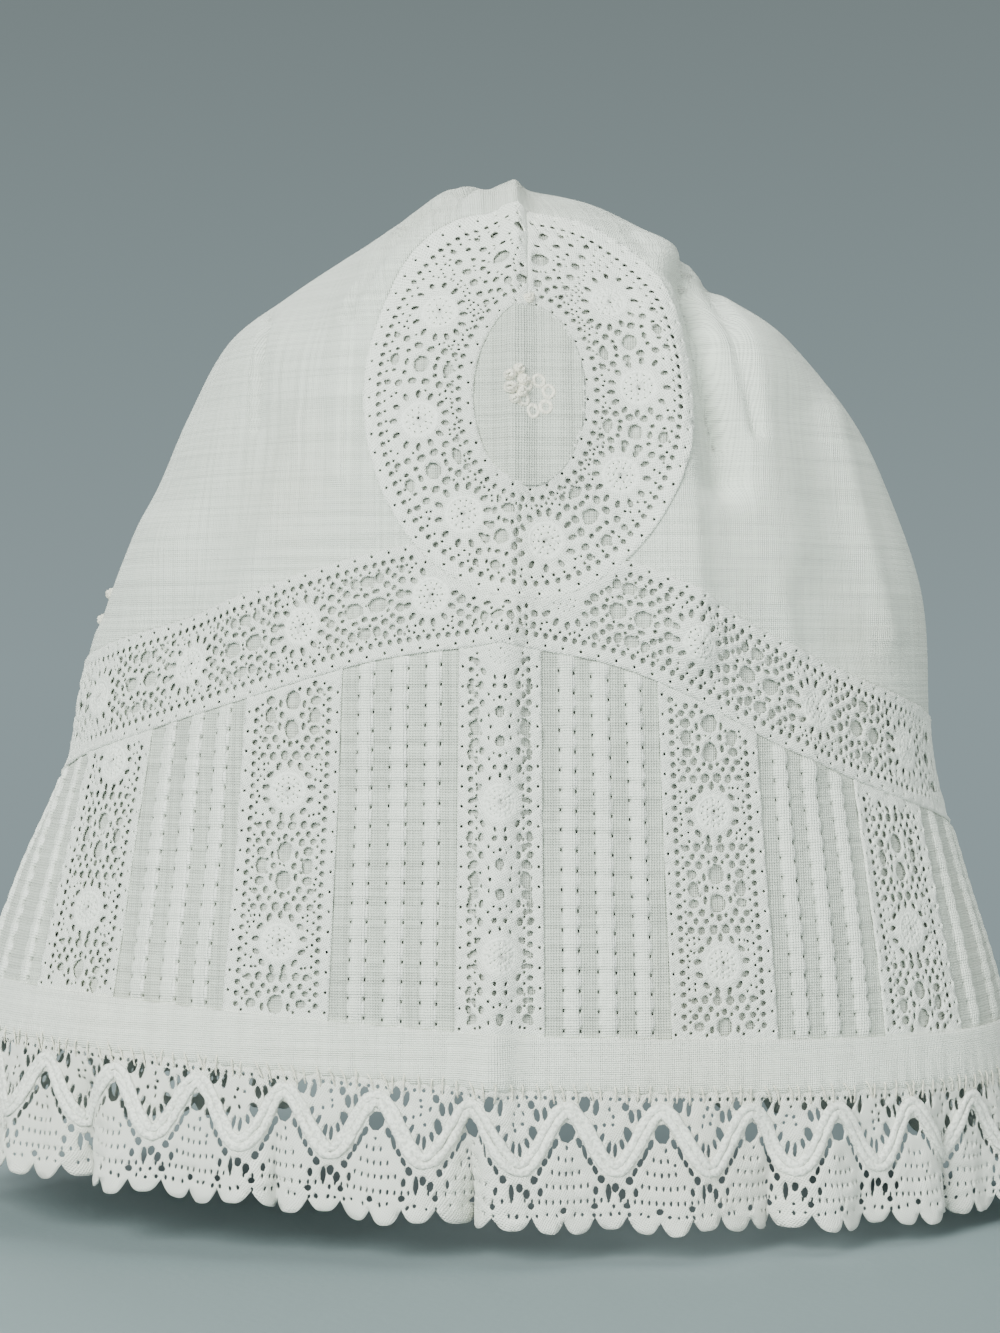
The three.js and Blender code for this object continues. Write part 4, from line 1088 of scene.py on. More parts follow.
def turned(start, end, share):
    """Directions between two sets of directions, by equal turns."""
    angle = np.arccos(np.clip((start * end).sum(axis=1), -1, 1))[:, None]
    share = share[:, None]
    return unit(start * np.sin((1 - share) * angle) + end * np.sin(share * angle))


def crown_place(u, v):
    turn = mix(TURN_LEFT, TURN_RIGHT, u)
    margin = SEAM_GAP / 2
    head = ring_outline(turn, RING_HALF_WIDTH + margin, RING_HALF_HEIGHT + margin)
    foot = np.stack([np.interp(u, foot_lengths, crown_foot[:, k]) for k in range(3)], axis=1)
    directions = turned(unit(head - HEART), unit(foot - HEART), v)
    return on_cloth(along_ray(directions, HEART))


crown_grid = (np.linspace(0, 1, 321), np.linspace(0, 1, 66) ** 1.2, crown_place, LAWN_WALL)
sheet_piece("crown_lawn", "lawn", LAWN, ["crown_cloth"], *crown_grid)

# ---------------------------------------------------------------- band
BAND_HALF = BAND_RISE / 2


def band_place(s, t):
    height = band_foot(s) + t
    along = np.clip(s, end_of_brim(-1, height), end_of_brim(1, height))
    return on_cloth(from_rim(along, height))


def band_top(s):
    return band_head(s) - band_foot(s)


def band_side(side, t):
    s = end_of_brim(side, BAND_CENTRE * 0.6 + t)
    for _ in range(8):
        s = end_of_brim(side, band_foot(s) + t)
    return s


band_low = -SEAM_GAP / 2 - SEAM_LAP
side_heights = np.linspace(band_low, BAND_RISE + SEAM_LAP, 18)
band_left_side = np.stack([band_side(-1, side_heights), side_heights], axis=1)
band_right_side = np.stack([band_side(1, side_heights), side_heights], axis=1)
low_s = evenly(band_left_side[0, 0], band_right_side[0, 0], 0.9)[1:-1]
high_s = evenly(band_left_side[-1, 0], band_right_side[-1, 0], 0.9)[1:-1]
band_outline = np.concatenate(
    [
        np.stack([low_s, 0 * low_s + band_low], axis=1),
        band_right_side,
        np.stack([high_s, band_top(high_s) + SEAM_LAP], axis=1)[::-1],
        band_left_side[::-1],
    ]
)
BAND_WHEELS = [BAND_FIRST_WHEEL + BAND_REPEAT * k for k in range(-7, 8)]
band_ends = (band_left_side[:, 0].max(), band_right_side[:, 0].min())
band_flat = wheel_motif(BAND_WHEELS) + edge_columns(band_ends[0], band_ends[1], BAND_HALF)
band_flat += net_between(band_flat, BAND_WHEELS, -NET_REACH, NET_REACH, BAND_HALF - 2, 62)
band_all = [(s, t + BAND_HALF, half, other, turn) for s, t, half, other, turn in band_flat]


RING_ROOM = 0.1
END_ROOM = 1


def clear_of_ring(hole):
    """Whether a hole lies clear of the ring above the band and of the band's two ends."""
    s = np.array([hole[0] - hole[2], hole[0], hole[0] + hole[2]])
    below = hole[1] + hole[3] + RING_ROOM < band_top(s).min()
    return below and band_ends[0] + END_ROOM < hole[0] < band_ends[1] - END_ROOM


def band_edge_distance(s, t):
    return np.minimum(t - band_low, band_top(s) + SEAM_LAP - t)


# Only wheels with room round them, away from the band's ends and from the ring
WHEEL_ROOM = 4
whole_wheels = [
    (w, BAND_HALF)
    for w in BAND_WHEELS
    if band_ends[0] + WHEEL_ROOM < w < band_ends[1] - WHEEL_ROOM and band_top(np.array([w]))[0] > 9
]
clear_holes = [h for h in band_all if clear_of_ring(h)]
band_words = (band_outline, clear_holes, band_place, band_edge_distance, whole_wheels, BAND_MESH, 11)
lace_piece("band_insertion", "band_lace", *band_words)

# ---------------------------------------------------------------- brim
FIRST_WHEEL_CENTRE = 22.6
CENTRE_OPENNESS = 0.6
FIRST_WHEEL_LEFT = 24.0
FIRST_WHEEL_RIGHT = 21.2


def brim_place(s, t):
    return on_cloth(from_rim(s, t))


INNER_FROM_EDGE = 3.4
NET_FROM_EDGE = 2.2
END_CLEARANCE = 0.35


def lace_strip(name, node, start, end, first_wheel, seed, open_share=1.0):
    """A strip of lace up the brim. A narrow one draws its middle together, with holes of that open share."""
    low, high = min(start, end) - SEAM_LAP - SEAM_GAP / 2, max(start, end) + SEAM_LAP + SEAM_GAP / 2
    middle = (low + high) / 2
    half = (high - low) / 2
    across = evenly(low, high, 0.8)
    top = band_foot(across) - SEAM_GAP / 2
    foot = brim_low(across)
    up_left = evenly(foot[0], top[0], 0.9)[1:-1]
    up_right = evenly(foot[-1], top[-1], 0.9)[1:-1]
    outline = np.concatenate(
        [
            np.stack([across, foot], axis=1),
            np.stack([0 * up_right + high, up_right], axis=1),
            np.stack([across, top], axis=1)[::-1],
            np.stack([0 * up_left + low, up_left], axis=1)[::-1],
        ]
    )
    wheels = [first_wheel + LACE_REPEAT * k for k in range(-2, 5)]
    narrow = half / (BRIM_LACE_WIDTH / 2)
    holes = []
    drawn = wheel_motif(wheels) + edge_columns(foot.min(), top.max(), half - SEAM_LAP)
    if narrow >= 1:
        drawn += net_between(drawn, wheels, foot.min(), top.max(), half - NET_FROM_EDGE, seed)
    for along, off, size, other, turn in drawn:
        inner = abs(off) < half - INNER_FROM_EDGE
        place = (middle + off * (min(narrow, 1) if inner else 1), along)
        ceiling = band_foot(np.array([place[0]]))[0] - SEAM_GAP
        floor = brim_low(np.array([place[0]]))[0]
        if floor + END_CLEARANCE + max(size, other) < along < ceiling - END_CLEARANCE - max(size, other):
            shrunk = open_share if inner else 1
            holes.append((*place, size * shrunk, other * shrunk, turn + math.pi / 2))
    shown = [(middle, w) for w in wheels if foot.max() + 1 < w < top.min() - 1]
    words = (outline, holes, brim_place, lambda s, t: np.minimum(s - low, high - s), shown, LACE_MESH, seed)
    lace_piece(name, node, *words)


# Narrow tucks of double cloth stand up between strips of sheer cloth. A stitch pinches them at each pair of
# needle holes, so their edges bow out between the holes.
TUCK_WIDTH = 2.3
TUCK_RISE = 0.5
TUCK_PINCH = 0.44
TUCK_FADE = 1.0
TUCK_LEAN = 0.35
COLUMN_STEP = 0.26
ROWS_PER_HOLE = 6
ROW_STEP = NEEDLE_PITCH / ROWS_PER_HOLE
NEEDLE_ROW = 2
THREE_TUCKS = (0.215, 0.5, 0.79)
FOUR_TUCKS = (0.13, 0.37, 0.61, 0.85)


def tucked_panel(name, node, start, end, tucks):
    """A panel of sheer lawn with tucks at those shares of its width."""
    low, high = min(start, end) - SEAM_LAP, max(start, end) + SEAM_LAP
    across = evenly(low, high, COLUMN_STEP)
    middles = np.array([mix(start, end, share) for share in tucks])
    rows = int((band_foot(across) - brim_low(across)).max() / ROW_STEP)

    def height_at(u, v):
        return mix(brim_low(u), band_foot(u) - SEAM_GAP / 2, v)

    def place(u, v):
        return on_cloth(from_rim(u, height_at(u, v)))

    def tuck(u, v):
        """Roundness of the tuck, its nearness to the right edge and the bow between two needle holes."""
        height = height_at(u, v)
        bow = np.abs(np.sin(math.pi * (v * rows - NEEDLE_ROW - 0.5) / ROWS_PER_HOLE)) ** 0.6
        half = TUCK_WIDTH / 2 * (1 - TUCK_PINCH + TUCK_PINCH * bow)
        away = u[:, None] - middles
        nearest = np.argmin(np.abs(away), axis=1)
        off = away[np.arange(len(u)), nearest] / half
        ends = np.minimum(height - brim_low(u), band_foot(u) - height) / TUCK_FADE
        body = np.maximum(1 - np.abs(off) ** 3, 0) ** 0.5 * soft_step(ends)
        return body, off, bow

    def lift(u, v):
        body, off, bow = tuck(u, v)
        return TUCK_RISE * body * (0.75 + 0.25 * bow + TUCK_LEAN * np.clip(off, -1, 1))

    def marks(u, v):
        body, off, bow = tuck(u, v)
        # edge: where the tuck's lit right edge gets a painted highlight
        return {"double": soft_step(body / 0.5), "edge": soft_step((off - 0.55) / 0.25) * (off < 1.02) * bow}

    cells = (across[:-1] + across[1:]) / 2
    beside = np.zeros(len(cells), bool)
    for middle in middles:
        for side in (-1, 1):
            beside[np.argmin(np.abs(cells - middle - side * (TUCK_WIDTH / 2 - 0.1)))] = True
    gap = (np.arange(rows) % ROWS_PER_HOLE == NEEDLE_ROW)[:, None] & beside
    gap[[0, -1]] = False
    gap[:, [0, -1]] = False
    upward = np.linspace(0, 1, rows + 1)
    words = {"lift": lift, "gap": gap, "marks": marks}
    sheet_piece(name, "sheer_lawn", SHEER_PAINTED_SHADE, [node], across, upward, place, LAWN_WALL, **words)


def end_panel(name, node, start, side):
    """The plain end of the brim, from its last panel to the neck hem."""
    def place(u, v):
        along = mix(start, end_of_brim(side, 0 * u + HEM_HEIGHT), u)
        for _ in range(6):
            height = mix(brim_low(along), band_foot(along) - SEAM_GAP / 2, v)
            along = mix(start, end_of_brim(side, height, NECK_SEAM - SEAM_GAP / 2), u)
        return on_cloth(from_rim(along, height))

    sheet_piece(name, "lawn", LAWN, [node], np.linspace(0, 1, 61), np.linspace(0, 1, 31), place, LAWN_WALL)


HALF_STRIP = CENTRE_STRIP_WIDTH / 2
centre_words = (-HALF_STRIP, HALF_STRIP, FIRST_WHEEL_CENTRE, 21, CENTRE_OPENNESS)
lace_strip("centre_insertion", "centre_lace_strip", *centre_words)
for side, word, first_wheel in ((-1, "left", FIRST_WHEEL_LEFT), (1, "right", FIRST_WHEEL_RIGHT)):
    edge = HALF_STRIP + SEAM_GAP
    places = []
    for width in (PANEL_WIDTH, BRIM_LACE_WIDTH, PANEL_WIDTH, BRIM_LACE_WIDTH, SIDE_PANEL_WIDTH):
        places.append((side * edge, side * (edge + width)))
        edge += width + SEAM_GAP
    tucked_panel(f"inner_tucks_{word}", f"inner_panel_{word}", *places[0], THREE_TUCKS)
    lace_strip(f"inner_insertion_{word}", f"inner_lace_{word}", *places[1], first_wheel, 31 + side)
    tucked_panel(f"outer_tucks_{word}", f"outer_panel_{word}", *places[2], THREE_TUCKS)
    lace_strip(f"outer_insertion_{word}", f"outer_lace_{word}", *places[3], first_wheel + 3, 41 + side)
    tucked_panel(f"side_tucks_{word}", f"side_panel_{word}", *places[4], FOUR_TUCKS)
    end_panel(f"back_lawn_{word}", f"back_panel_{word}", side * (edge - SEAM_GAP / 2), side)

# ---------------------------------------------------------------- hem and neck
FACE_LEFT = float(end_of_brim(-1, FACE_RISE))
FACE_RIGHT = float(end_of_brim(1, FACE_RISE))
HEM_LAP = 0.06
HEM_ROLL = 0.12
HEM_THICKNESS = 0.36
HEM_GATHER = 0.2
HEM_GATHER_PITCH = 2.4
HEM_WAVE = 0.05


def hem_place(u, v):
    edge = face_edge(u)
    height = edge + v * HEM_HEIGHT
    left = end_of_brim(-1, height) / end_of_brim(-1, edge)
    right = end_of_brim(1, height) / end_of_brim(1, edge)
    return on_cloth(from_rim(u * np.where(u < 0, left, right), height))


def hem_lift(u, v):
    """The thickness of the double hem, rolled at its lower edge, where the frill's seam draws it in."""
    rolled = soft_step(v / HEM_ROLL) * (HEM_THICKNESS + 0.1 * np.sin(math.pi * np.clip(v, 0, 1)))
    gathers = HEM_GATHER * np.sin(2 * math.pi * u / HEM_GATHER_PITCH + 2 * np.sin(u / 5))
    wave = HEM_WAVE * ripple(np.stack([u, 6 * v], axis=1), 5, 8)
    return HEM_WAVE + rolled + gathers * np.maximum(1 - v, 0) ** 2 + wave


sheet_piece(
    "hem_fold", "lawn", LAWN, ["hem_band"], evenly(FACE_LEFT, FACE_RIGHT, 0.6),
    np.linspace(-0.02, 1 + HEM_LAP, 14), hem_place, HEM_WALL,
    lift=hem_lift, marks=lambda u, v: {"double": np.ones(len(u))},
)
NECK_THICKNESS = 0.4
neck_start = math.asin(FACE_RISE / NECK_HEIGHT)
sheet_piece(
    "neck_fold", "lawn", LAWN, ["neck_hem"], np.linspace(neck_start, math.pi - neck_start, 121),
    np.linspace(0, 1, 7), lambda u, v: on_cloth(arch_point(u, v * NECK_SEAM)), HEM_WALL,
    lift=lambda u, v: NECK_THICKNESS * np.sqrt(np.maximum(1 - (2 * v - 1) ** 4, 0)),
)

# ---------------------------------------------------------------- lining
LINING_HEART = np.array([0, 0, 0.4 * CROWN_HEIGHT])
# The lining stops just short of the neck's edge, and its first row just short of the top
LINING_REACH = 0.999
LINING_TOP = 0.004
lining_offset = NECK_HEM_WIDTH / 2
lining_foot = FACE_RISE + HEM_HEIGHT / 2
lining_ends = [LINING_REACH * float(end_of_brim(side, lining_foot, lining_offset)) for side in (-1, 1)]
rim_path = np.linspace(*lining_ends, 240)
arch_start = math.asin(lining_foot / (NECK_HEIGHT + lining_offset))
lining_edge = np.concatenate(
    [
        from_rim(rim_path, face_edge(rim_path) + HEM_HEIGHT / 2),
        arch_point(np.linspace(math.pi - arch_start, arch_start, 120)[1:-1], lining_offset),
    ]
)
lining_edge = np.concatenate([lining_edge, lining_edge[:1]])
edge_lengths = np.concatenate([[0], np.cumsum(np.linalg.norm(np.diff(lining_edge, axis=0), axis=1))])
LINING_ROUND = edge_lengths[-1]


def lining_place(u, v):
    edge = np.stack([np.interp(u * LINING_ROUND, edge_lengths, lining_edge[:, k]) for k in range(3)], axis=1)
    top = np.zeros_like(edge) + [0, 0, 1]
    points, normals = on_cloth(along_ray(turned(top, unit(edge - LINING_HEART), v), LINING_HEART))
    return points - normals * LINING_DROP, normals


lining_grid = (np.linspace(0, 1, 301)[:-1], np.linspace(LINING_TOP, 1, 90), lining_place, LINING_WALL)
sheet_piece("lining_lawn", "lining", LINING, ["lining_crown", "lining_brim"], *lining_grid, closed=True)

# ---------------------------------------------------------------- frill
GATHER_WAVE = 1.1
LOOSE_WAVE = 0.5
NOTCH_DEPTH = 4.2
NOTCH_WIDTH = 2.7
NOTCH_PINCH = 2.2
FRILL_REPEATS = round((FACE_RIGHT - FACE_LEFT) / FRILL_REPEAT)
FRILL_PITCH = (FACE_RIGHT - FACE_LEFT) / FRILL_REPEATS


def frill_point(s, t):
    down = t / FRILL_DEPTH
    rim = from_rim(s, face_edge(s))
    middle = on_cloth(rim)[0]
    out = unit(plain_normal(rim) * [1, 1, 0])
    ahead = np.stack([-out[:, 1], out[:, 0], 0 * s], axis=1)
    gathers = GATHER_WAVE * np.sin(2 * math.pi * s / (1.5 * FRILL_PITCH))
    push = gathers + LOOSE_WAVE * ripple(s[:, None], 9, 77)
    pinch = np.zeros(len(s))
    for notch in FRILL_NOTCHES:
        half = RIM_HALF_LEFT if notch.along < 0 else RIM_HALF_RIGHT
        away = (s - notch.along * half) / NOTCH_WIDTH
        push -= notch.depth * NOTCH_DEPTH * np.exp(-(away**2))
        pinch -= notch.depth * NOTCH_PINCH * away * np.exp(-(away**2))
    points = middle + out * ((FRILL_FLARE + push) * down)[:, None] + ahead * (pinch * down)[:, None]
    points[:, 2] = rim[:, 2] - SEAM_GAP / 2 - t
    return points


def frill_place(s, t):
    step = 0.08
    ahead = frill_point(s + step, t) - frill_point(s - step, t)
    lower = frill_point(s, t + step) - frill_point(s, t - step)
    return frill_point(s, t), unit(np.cross(lower, ahead))


def repeat_share(s):
    return (s - FACE_LEFT) / FRILL_PITCH


GIMP_PEAK = 0.12
GIMP_VALLEY = 0.545


def gimp_depth(s):
    """How far down the frill its zigzag cord runs."""
    share = repeat_share(s)
    down = soft_step(1 - np.abs(2 * (share - np.floor(share)) - 1))
    return FRILL_DEPTH * mix(GIMP_PEAK, GIMP_VALLEY, down)


SCALLOPS = 3
SCALLOP_DEPTH = 1.8
SCALLOP_SHIFT = 0.05
FAN_DEPTH = 0.35


def frill_edge(s):
    """The frill's scalloped lower edge, which hangs lower under each fan."""
    lobes = np.abs(np.sin(math.pi * SCALLOPS * (repeat_share(s) + SCALLOP_SHIFT)))
    fan = FAN_DEPTH * np.cos(2 * math.pi * repeat_share(s))
    return FRILL_DEPTH - SCALLOP_DEPTH * (1 - lobes) ** 1.6 + fan


# Holes of one repeat of the edging, from the peak of its zigzag: place along and down, half width, half
# height and turn
FRILL_HOLES = (
    (0, 4.7, 0.95, 1.1, 0), (2.2, 1.35, 0.62, 0.85, 0.2), (3.55, 1.7, 0.34, 0.95, 0.1),
    (3.3, 4.3, 0.34, 0.6, 0.3), (4.15, 5.4, 0.26, 0.75, 0.35), (5.0, 6.6, 0.26, 0.9, 0.15),
    (5.75, 6.75, 0.24, 0.85, 0), (7.35, 4.9, 0.5, 0.95, -0.3), (6.6, 6.0, 0.28, 0.6, -0.2),
    (7.1, 1.5, 0.42, 0.5, 0), (7.8, 2.7, 0.36, 0.75, -0.2), (8.75, 2.6, 0.3, 0.85, -0.15),
    (9.75, 1.4, 0.52, 0.6, 0), (1.45, 5.9, 0.34, 0.6, -0.3), (2.1, 7.0, 0.26, 0.85, -0.3),
    (2.75, 8.15, 0.3, 0.5, -0.4), (3.35, 9.15, 0.28, 0.55, -0.4), (4.05, 10.2, 0.42, 0.5, -0.3),
    (10.0, 6.0, 0.34, 0.6, 0.3), (9.35, 7.1, 0.26, 0.75, 0.3), (8.7, 8.2, 0.32, 0.5, 0.4),
    (8.05, 9.25, 0.28, 0.55, 0.4), (7.4, 10.3, 0.45, 0.48, 0.3), (4.9, 11.7, 0.32, 0.95, 0),
    (5.7, 11.2, 0.42, 0.55, 0), (6.5, 11.9, 0.42, 0.6, 0), (3.4, 11.6, 0.3, 0.5, 0),
    (8.1, 11.7, 0.3, 0.5, 0),
)
FRILL_CHART_REPEAT = 11.4
# Rows of fine slits under each peak: place down and reach to both sides
SLIT_ROWS = ((8.0, 1.1), (9.6, 1.9), (11.2, 2.6), (12.9, 5.2))
SLIT_STEP = 0.85
FRILL_OPENNESS = 1.13
LOBE_HOLE_UP = 1.15
HEAD_HOLE_PITCH = 1.15

frill_holes = []
for repeat in range(-1, FRILL_REPEATS + 1):
    start = FACE_LEFT + repeat * FRILL_PITCH
    scale = FRILL_PITCH / FRILL_CHART_REPEAT
    for along, down, half, other, turn in FRILL_HOLES:
        frill_holes.append((start + along * scale, down, half * FRILL_OPENNESS, other * FRILL_OPENNESS, turn))
    for down, reach in SLIT_ROWS:
        for along in np.arange(-reach, reach + 0.01, SLIT_STEP):
            frill_holes.append((start + along, down - 0.25 * (along / reach) ** 2, 0.17, 0.36, 0))
    for lobe in range(SCALLOPS):
        along = start + (lobe / SCALLOPS - SCALLOP_SHIFT) * FRILL_PITCH
        frill_holes.append((along, float(frill_edge(np.array([along]))[0]) - LOBE_HOLE_UP, 0.46, 0.42, 0))
for s in np.arange(FACE_LEFT + 0.8, FACE_RIGHT - 0.8, HEAD_HOLE_PITCH):
    frill_holes.append((s, 0.62, 0.24, 0.28, 0))

# Fine net between the drawn holes, over the part that faces forward and away from the cord
NET_PITCH = 1.12
NET_ROOM = 0.52
CORD_ROOM = 1.35
net_rng = np.random.default_rng(31)
drawn = np.array([(h[0], h[1], max(h[2], h[3])) for h in frill_holes])
for down in np.arange(1.7, FRILL_DEPTH - 1.6, NET_PITCH * 0.87):
    near = drawn[np.abs(drawn[:, 1] - down) < 2.2]
    for s in np.arange(-NET_REACH, NET_REACH, NET_PITCH) + net_rng.uniform(0, NET_PITCH):
        at = np.array([s + net_rng.uniform(-0.22, 0.22), down + net_rng.uniform(-0.18, 0.18)])
        close = np.hypot(near[:, 0] - at[0], near[:, 1] - at[1]) < near[:, 2] + NET_ROOM
        beside_cord = abs(float(gimp_depth(at[0])) - at[1]) < CORD_ROOM
        if not close.any() and not beside_cord:
            shape = [net_rng.uniform(*ends) for ends in ((0.16, 0.27), (0.2, 0.36), (-0.5, 0.5))]
            frill_holes.append((*at, *shape))
frill_holes = [h for h in frill_holes if FACE_LEFT + 0.4 + h[2] < h[0] < FACE_RIGHT - 0.4 - h[2]]

seam_s = evenly(FACE_LEFT, FACE_RIGHT, 1.1)
edge_s = evenly(FACE_LEFT, FACE_RIGHT, FRILL_PITCH / 42)
frill_outline = np.concatenate(
    [np.stack([seam_s, 0 * seam_s - 0.3], axis=1), np.stack([edge_s, frill_edge(edge_s)], axis=1)[::-1]]
)


def frill_relief(s, t, points):
    uneven = ripple(points, 1.4, 71)
    rolled = soft_step((0.7 - (frill_edge(s) - t)) / 0.7)
    return 0.1 * ripple(points, 3, 72), LACE_HALF_WALL * (1 + 0.18 * uneven) + 0.1 * rolled


FRILL_MESH = 0.85
points, faces, laid = lace_mesh(frill_outline, frill_holes, frill_place, frill_relief, FRILL_MESH, 7)
no_wheels = {"wheel": np.full(len(points), FAR_FROM_WHEEL)}
make_piece("frill_edging", points, faces, EDGING, "edging_lace", ["lace_frill"], laid, no_wheels)

# The double cord that zigzags over the frill
GIMP_RADIUS = 0.55
GIMP_FLAT = 0.6
GIMP_APART = 0.46
GIMP_LIFT = 0.32
gimp_s = evenly(FACE_LEFT + 0.5, FACE_RIGHT - 0.5, FRILL_PITCH / 26)
cords = []
for side in (-1, 1):
    depth = gimp_depth(gimp_s)
    slope = np.gradient(depth, gimp_s)
    length = np.sqrt(1 + slope**2)
    s = np.clip(gimp_s - side * GIMP_APART * slope / length, FACE_LEFT, FACE_RIGHT)
    t = depth + side * GIMP_APART / length
    middle, normals = frill_place(s, t)
    run = gimp_s[:, None]
    thick = GIMP_RADIUS * (1 + 0.12 * ripple(run, 0.9, 50 + side) + 0.1 * ripple(run, 4, 60))
    middle += normals * (GIMP_LIFT + 0.06 * ripple(run, 1.2, 55 + side))[:, None]
    cords.append(tube(middle, thick, normals, 8, flat=GIMP_FLAT))
make_piece("frill_gimp", *join(cords), CORD, "edging_lace")

# ---------------------------------------------------------------- embroidery, knots and stitches
def cloth_frame(x, z):
    """A point of the cloth seen from the front, with its normal and directions across and up."""
    points, normals = on_cloth(from_front(np.array([x]), np.array([z])))
    normal = normals[0]
    across = unit(np.cross([0, 0, 1], normal) * -1)
    across = across if across[0] > 0 else -across
    up = np.cross(normal, across)
    return points[0], normal, across, up if up[2] > 0 else -up


def loop_thread(origin, across, up, normal, radius_x, radius_y, thread, lift, steps=20):
    turn = (np.arange(steps) * 2 * math.pi / steps)[:, None]
    path = origin + normal * lift + radius_x * np.cos(turn) * across + radius_y * np.sin(turn) * up
    return tube(path, thread, np.broadcast_to(normal, path.shape), 6, closed=True)


def knot_thread(origin, across, up, normal, size, seed):
    """A French knot: a thread wound over itself."""
    rng = np.random.default_rng(seed)
    turn = np.linspace(0, 2 * math.pi * 2.6, 40)
    share = turn / turn[-1]
    wobble = rng.uniform(0, 2 * math.pi)
    radius = size * (0.75 - 0.45 * share)
    path = (
        origin
        + (radius * np.cos(turn))[:, None] * across
        + (radius * np.sin(turn) * 0.9)[:, None] * up
        + (size * (0.2 + 0.85 * share + 0.12 * np.sin(3 * turn + wobble)))[:, None] * normal
    )
    return tube(path, size * 0.34, np.broadcast_to(normal, path.shape), 6)


flower = []
# The flower is a ring of whipped eyelets, with knots at its left. Places are from the roundel's centre.
FLOWER_EYELETS = 6
FLOWER_RING = 1.75
FLOWER_PLACE = (0.9, -0.3)
FLOWER_KNOTS = (
    (-2.3, 1.9, 0.85), (-1.3, 2.8, 0.8), (-0.8, 1.5, 0.9), (-2.2, 0.3, 0.95), (-1.0, 0.0, 0.85),
    (-1.8, -1.1, 0.75),
)
for k in range(FLOWER_EYELETS):
    turn = 2 * math.pi * k / FLOWER_EYELETS + 0.3
    x = RING_OFFSET + FLOWER_PLACE[0] + FLOWER_RING * math.cos(turn)
    z = RING_CENTRE + FLOWER_PLACE[1] + 1.15 * FLOWER_RING * math.sin(turn)
    point, normal, across, up = cloth_frame(x, z)
    flower.append(loop_thread(point, across, up, normal, 0.68, 0.78, 0.3, 0.25))
    flower.append(loop_thread(point, across, up, normal, 0.95, 1.02, 0.22, 0.12))
for k, (x, z, size) in enumerate(FLOWER_KNOTS):
    point, normal, across, up = cloth_frame(RING_OFFSET + x, RING_CENTRE + z)
    flower.append(knot_thread(point, across, up, normal, size, k))
make_piece("roundel_embroidery", *join(flower), THREAD, "thread", ["roundel_flower"])


def knot_piece(name, node, point, normal, size):
    across = unit(np.cross([0, 0, 1.0], normal))
    up = np.cross(normal, across)
    parts = [
        knot_thread(point, across, up, normal, size, 4),
        knot_thread(point + 0.5 * size * (across + up), across, up, normal, 0.7 * size, 5),
    ]
    make_piece(name, *join(parts), THREAD, "thread", [node])


ring_knot_at, ring_knot_normal = ring_place(np.array([RING_LENGTH]), np.array([-RING_HALF_BAND + 0.8]))
knot_piece("ring_join_knot", "ring_knot", ring_knot_at[0], ring_knot_normal[0], 0.8)
SIDE_KNOTS = (("side_knot_high", "side_knot_upper", 67.5), ("side_knot_low", "side_knot_lower", 64))
for name, node, height in SIDE_KNOTS:
    at, normal = on_cloth(section_point(np.array([-math.pi / 2 + 0.05]), np.array([float(height)])))
    knot_piece(name, node, at[0], normal[0], 0.85)

# Whip stitches that hold the frill to the hem
STITCH_PITCH = 1.6
STITCH_THREAD = 0.11
STITCH_HEIGHTS = 0.8 * np.array([0.3, 0.62, 0.68, 0.6, 0.5, 0.38, 0.1])
rng = np.random.default_rng(12)
stitches = []
for s in np.arange(FACE_LEFT + 1, FACE_RIGHT - 1, STITCH_PITCH):
    s = s + rng.uniform(-0.25, 0.25)
    lean = rng.uniform(-0.3, 1.3)
    heights = face_edge(s) + np.linspace(1.0 + rng.uniform(-0.2, 0.3), 0.1, 4)
    upper, upper_normal = on_cloth(from_rim(s + lean * np.linspace(0, 0.6, 4), heights))
    lower_t = np.linspace(0.35, 1.1 + rng.uniform(-0.2, 0.2), 3)
    lower, lower_normal = frill_place(s + lean * np.linspace(0.75, 1, 3), lower_t)
    path = np.concatenate([upper, lower])
    normals = np.concatenate([upper_normal, lower_normal])
    stitches.append(tube(path + normals * STITCH_HEIGHTS[:, None], STITCH_THREAD, normals, 5))
make_piece("hem_stitches", *join(stitches), THREAD, "thread")


# ---------------------------------------------------------------- stage, lights and camera
FLOOR_HEIGHT = -FRILL_DEPTH + 2
FLOOR_Z = (FLOOR_HEIGHT + SEAT_DROP - CROWN_HEIGHT) * MM


# A round floor whose far edge the bonnet hides from the camera, with the plain studio behind it
FLOOR_RADIUS = 0.33
FLOOR_CORNERS = 128


def round_floor():
    turns = np.arange(FLOOR_CORNERS) * 2 * math.pi / FLOOR_CORNERS
    points = [(FLOOR_RADIUS * math.cos(turn), FLOOR_RADIUS * math.sin(turn), FLOOR_Z) for turn in turns]
    mesh = bpy.data.meshes.new("floor")
    mesh.from_pydata(points, [], [list(range(FLOOR_CORNERS))])
    floor = bpy.data.objects.new("floor", mesh)
    bpy.context.scene.collection.objects.link(floor)
    shader = Shader("floor_paper")
    place = shader.node("NewGeometry")
    tone = shader.darken(rgb(shader, (0.2, 0.258, 0.268)), shader.noise(place, 3.0, 2.0), 0.12)
    mesh.materials.append(shader.finish(tone, shader.noise(place, 900.0, 2.0), 0.00005, 0.95, 0.0))


round_floor()

CAMERA_HEIGHT = 58
CAMERA_DISTANCE = 380
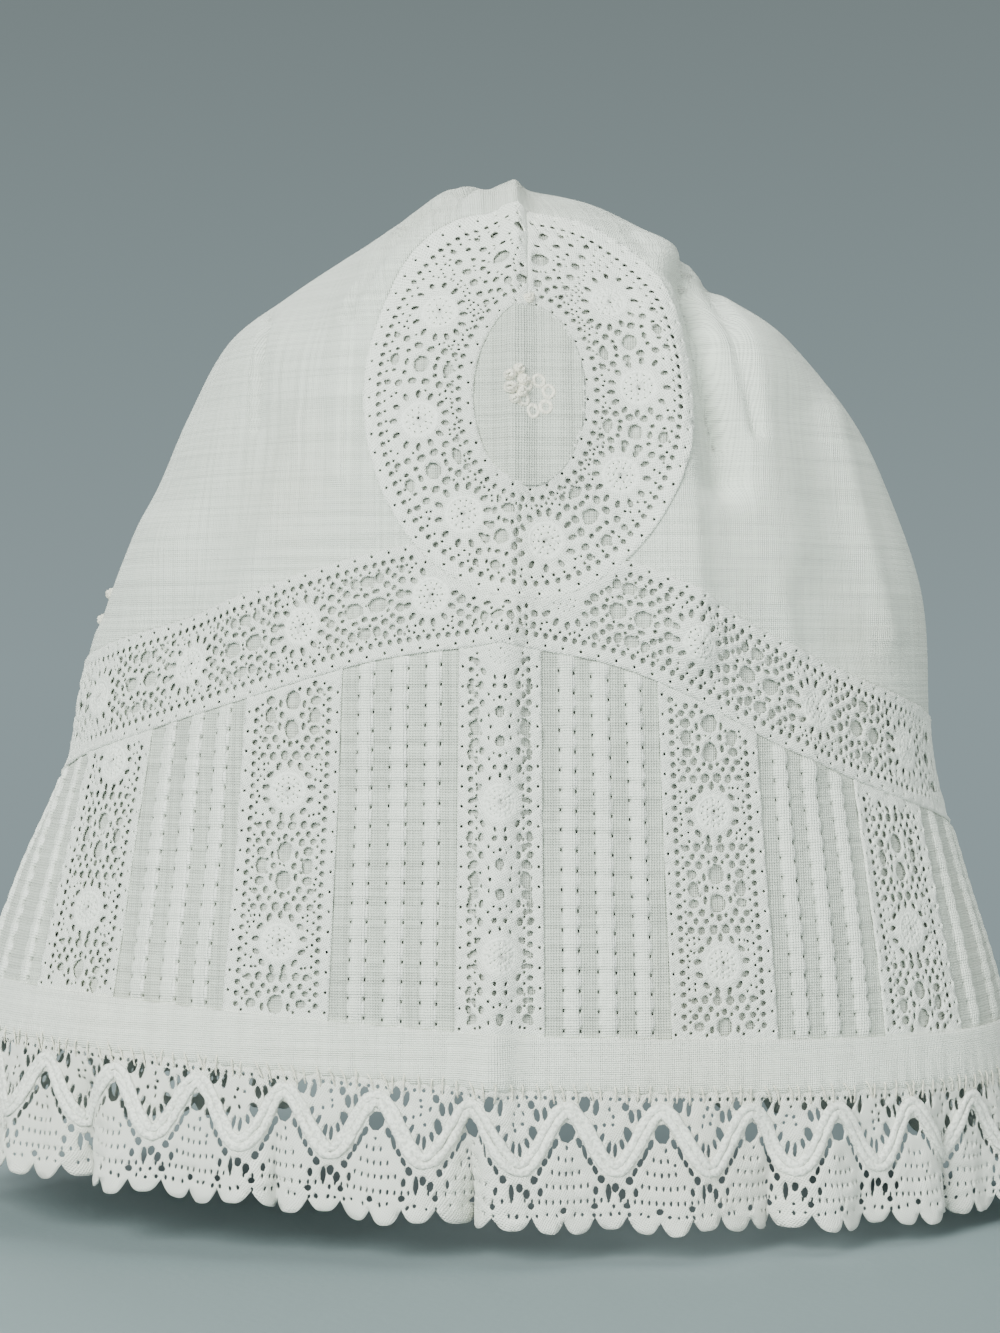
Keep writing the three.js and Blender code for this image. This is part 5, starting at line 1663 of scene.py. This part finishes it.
# The focal length as a share of the photo's height, with the sensor along that side
FOCAL_SHARE = 2774 / 1333
SENSOR = 36
camera_data = bpy.data.cameras.new("camera")
camera_data.sensor_width = SENSOR
camera_data.lens = SENSOR * FOCAL_SHARE
camera_data.clip_start = 0.01
camera = bpy.data.objects.new("camera", camera_data)
camera.location = (0, -CAMERA_DISTANCE * MM, (CAMERA_HEIGHT + SEAT_DROP - CROWN_HEIGHT) * MM)
camera.rotation_euler = (math.pi / 2, 0, 0)
bpy.context.scene.collection.objects.link(camera)
bpy.context.scene.camera = camera

Light = namedtuple("Light", "name place size power colour")
LIGHTS = [
    Light("key_softbox", (-0.35, -0.62, 0.27), 0.45, 12.9, (0.97, 1, 0.95)),
    Light("fill_softbox", (0.6, -0.65, 0.0), 0.6, 5.9, (0.96, 1, 0.95)),
    Light("top_softbox", (0.1, 0.1, 0.75), 0.5, 2.6, (0.98, 1, 0.98)),
    Light("back_softbox", (-0.3, 0.8, 0.3), 0.5, 5, (0.98, 1, 0.98)),
]
for light in LIGHTS:
    data = bpy.data.lights.new(light.name, "AREA")
    data.shape = "DISK"
    data.size = light.size
    data.energy = light.power
    data.color = light.colour
    lamp = bpy.data.objects.new(light.name, data)
    lamp.location = light.place
    aim = Vector((0, 0, FLOOR_Z / 2)) - Vector(light.place)
    lamp.rotation_euler = aim.to_track_quat("-Z", "Y").to_euler()
    bpy.context.scene.collection.objects.link(lamp)

# The studio is a grey green all round, darker from the floor's level up to HIGH_UP, a share of straight up
STUDIO_LOW = (0.279, 0.356, 0.371, 1)
STUDIO_HIGH = (0.19, 0.235, 0.238, 1)
HIGH_UP = 0.24
world = bpy.data.worlds.new("studio")
bpy.context.scene.world = world
world.use_nodes = True
nodes, links = world.node_tree.nodes, world.node_tree.links
direction = nodes.new("ShaderNodeTexCoord")
split = nodes.new("ShaderNodeSeparateXYZ")
share = nodes.new("ShaderNodeMapRange")
share.inputs["From Max"].default_value = HIGH_UP
tone = nodes.new("ShaderNodeMix")
tone.data_type = "RGBA"
tone.inputs[6].default_value = STUDIO_LOW
tone.inputs[7].default_value = STUDIO_HIGH
links.new(direction.outputs["Generated"], split.inputs[0])
links.new(split.outputs["Z"], share.inputs["Value"])
links.new(share.outputs[0], tone.inputs[0])
links.new(tone.outputs[2], nodes["Background"].inputs["Color"])
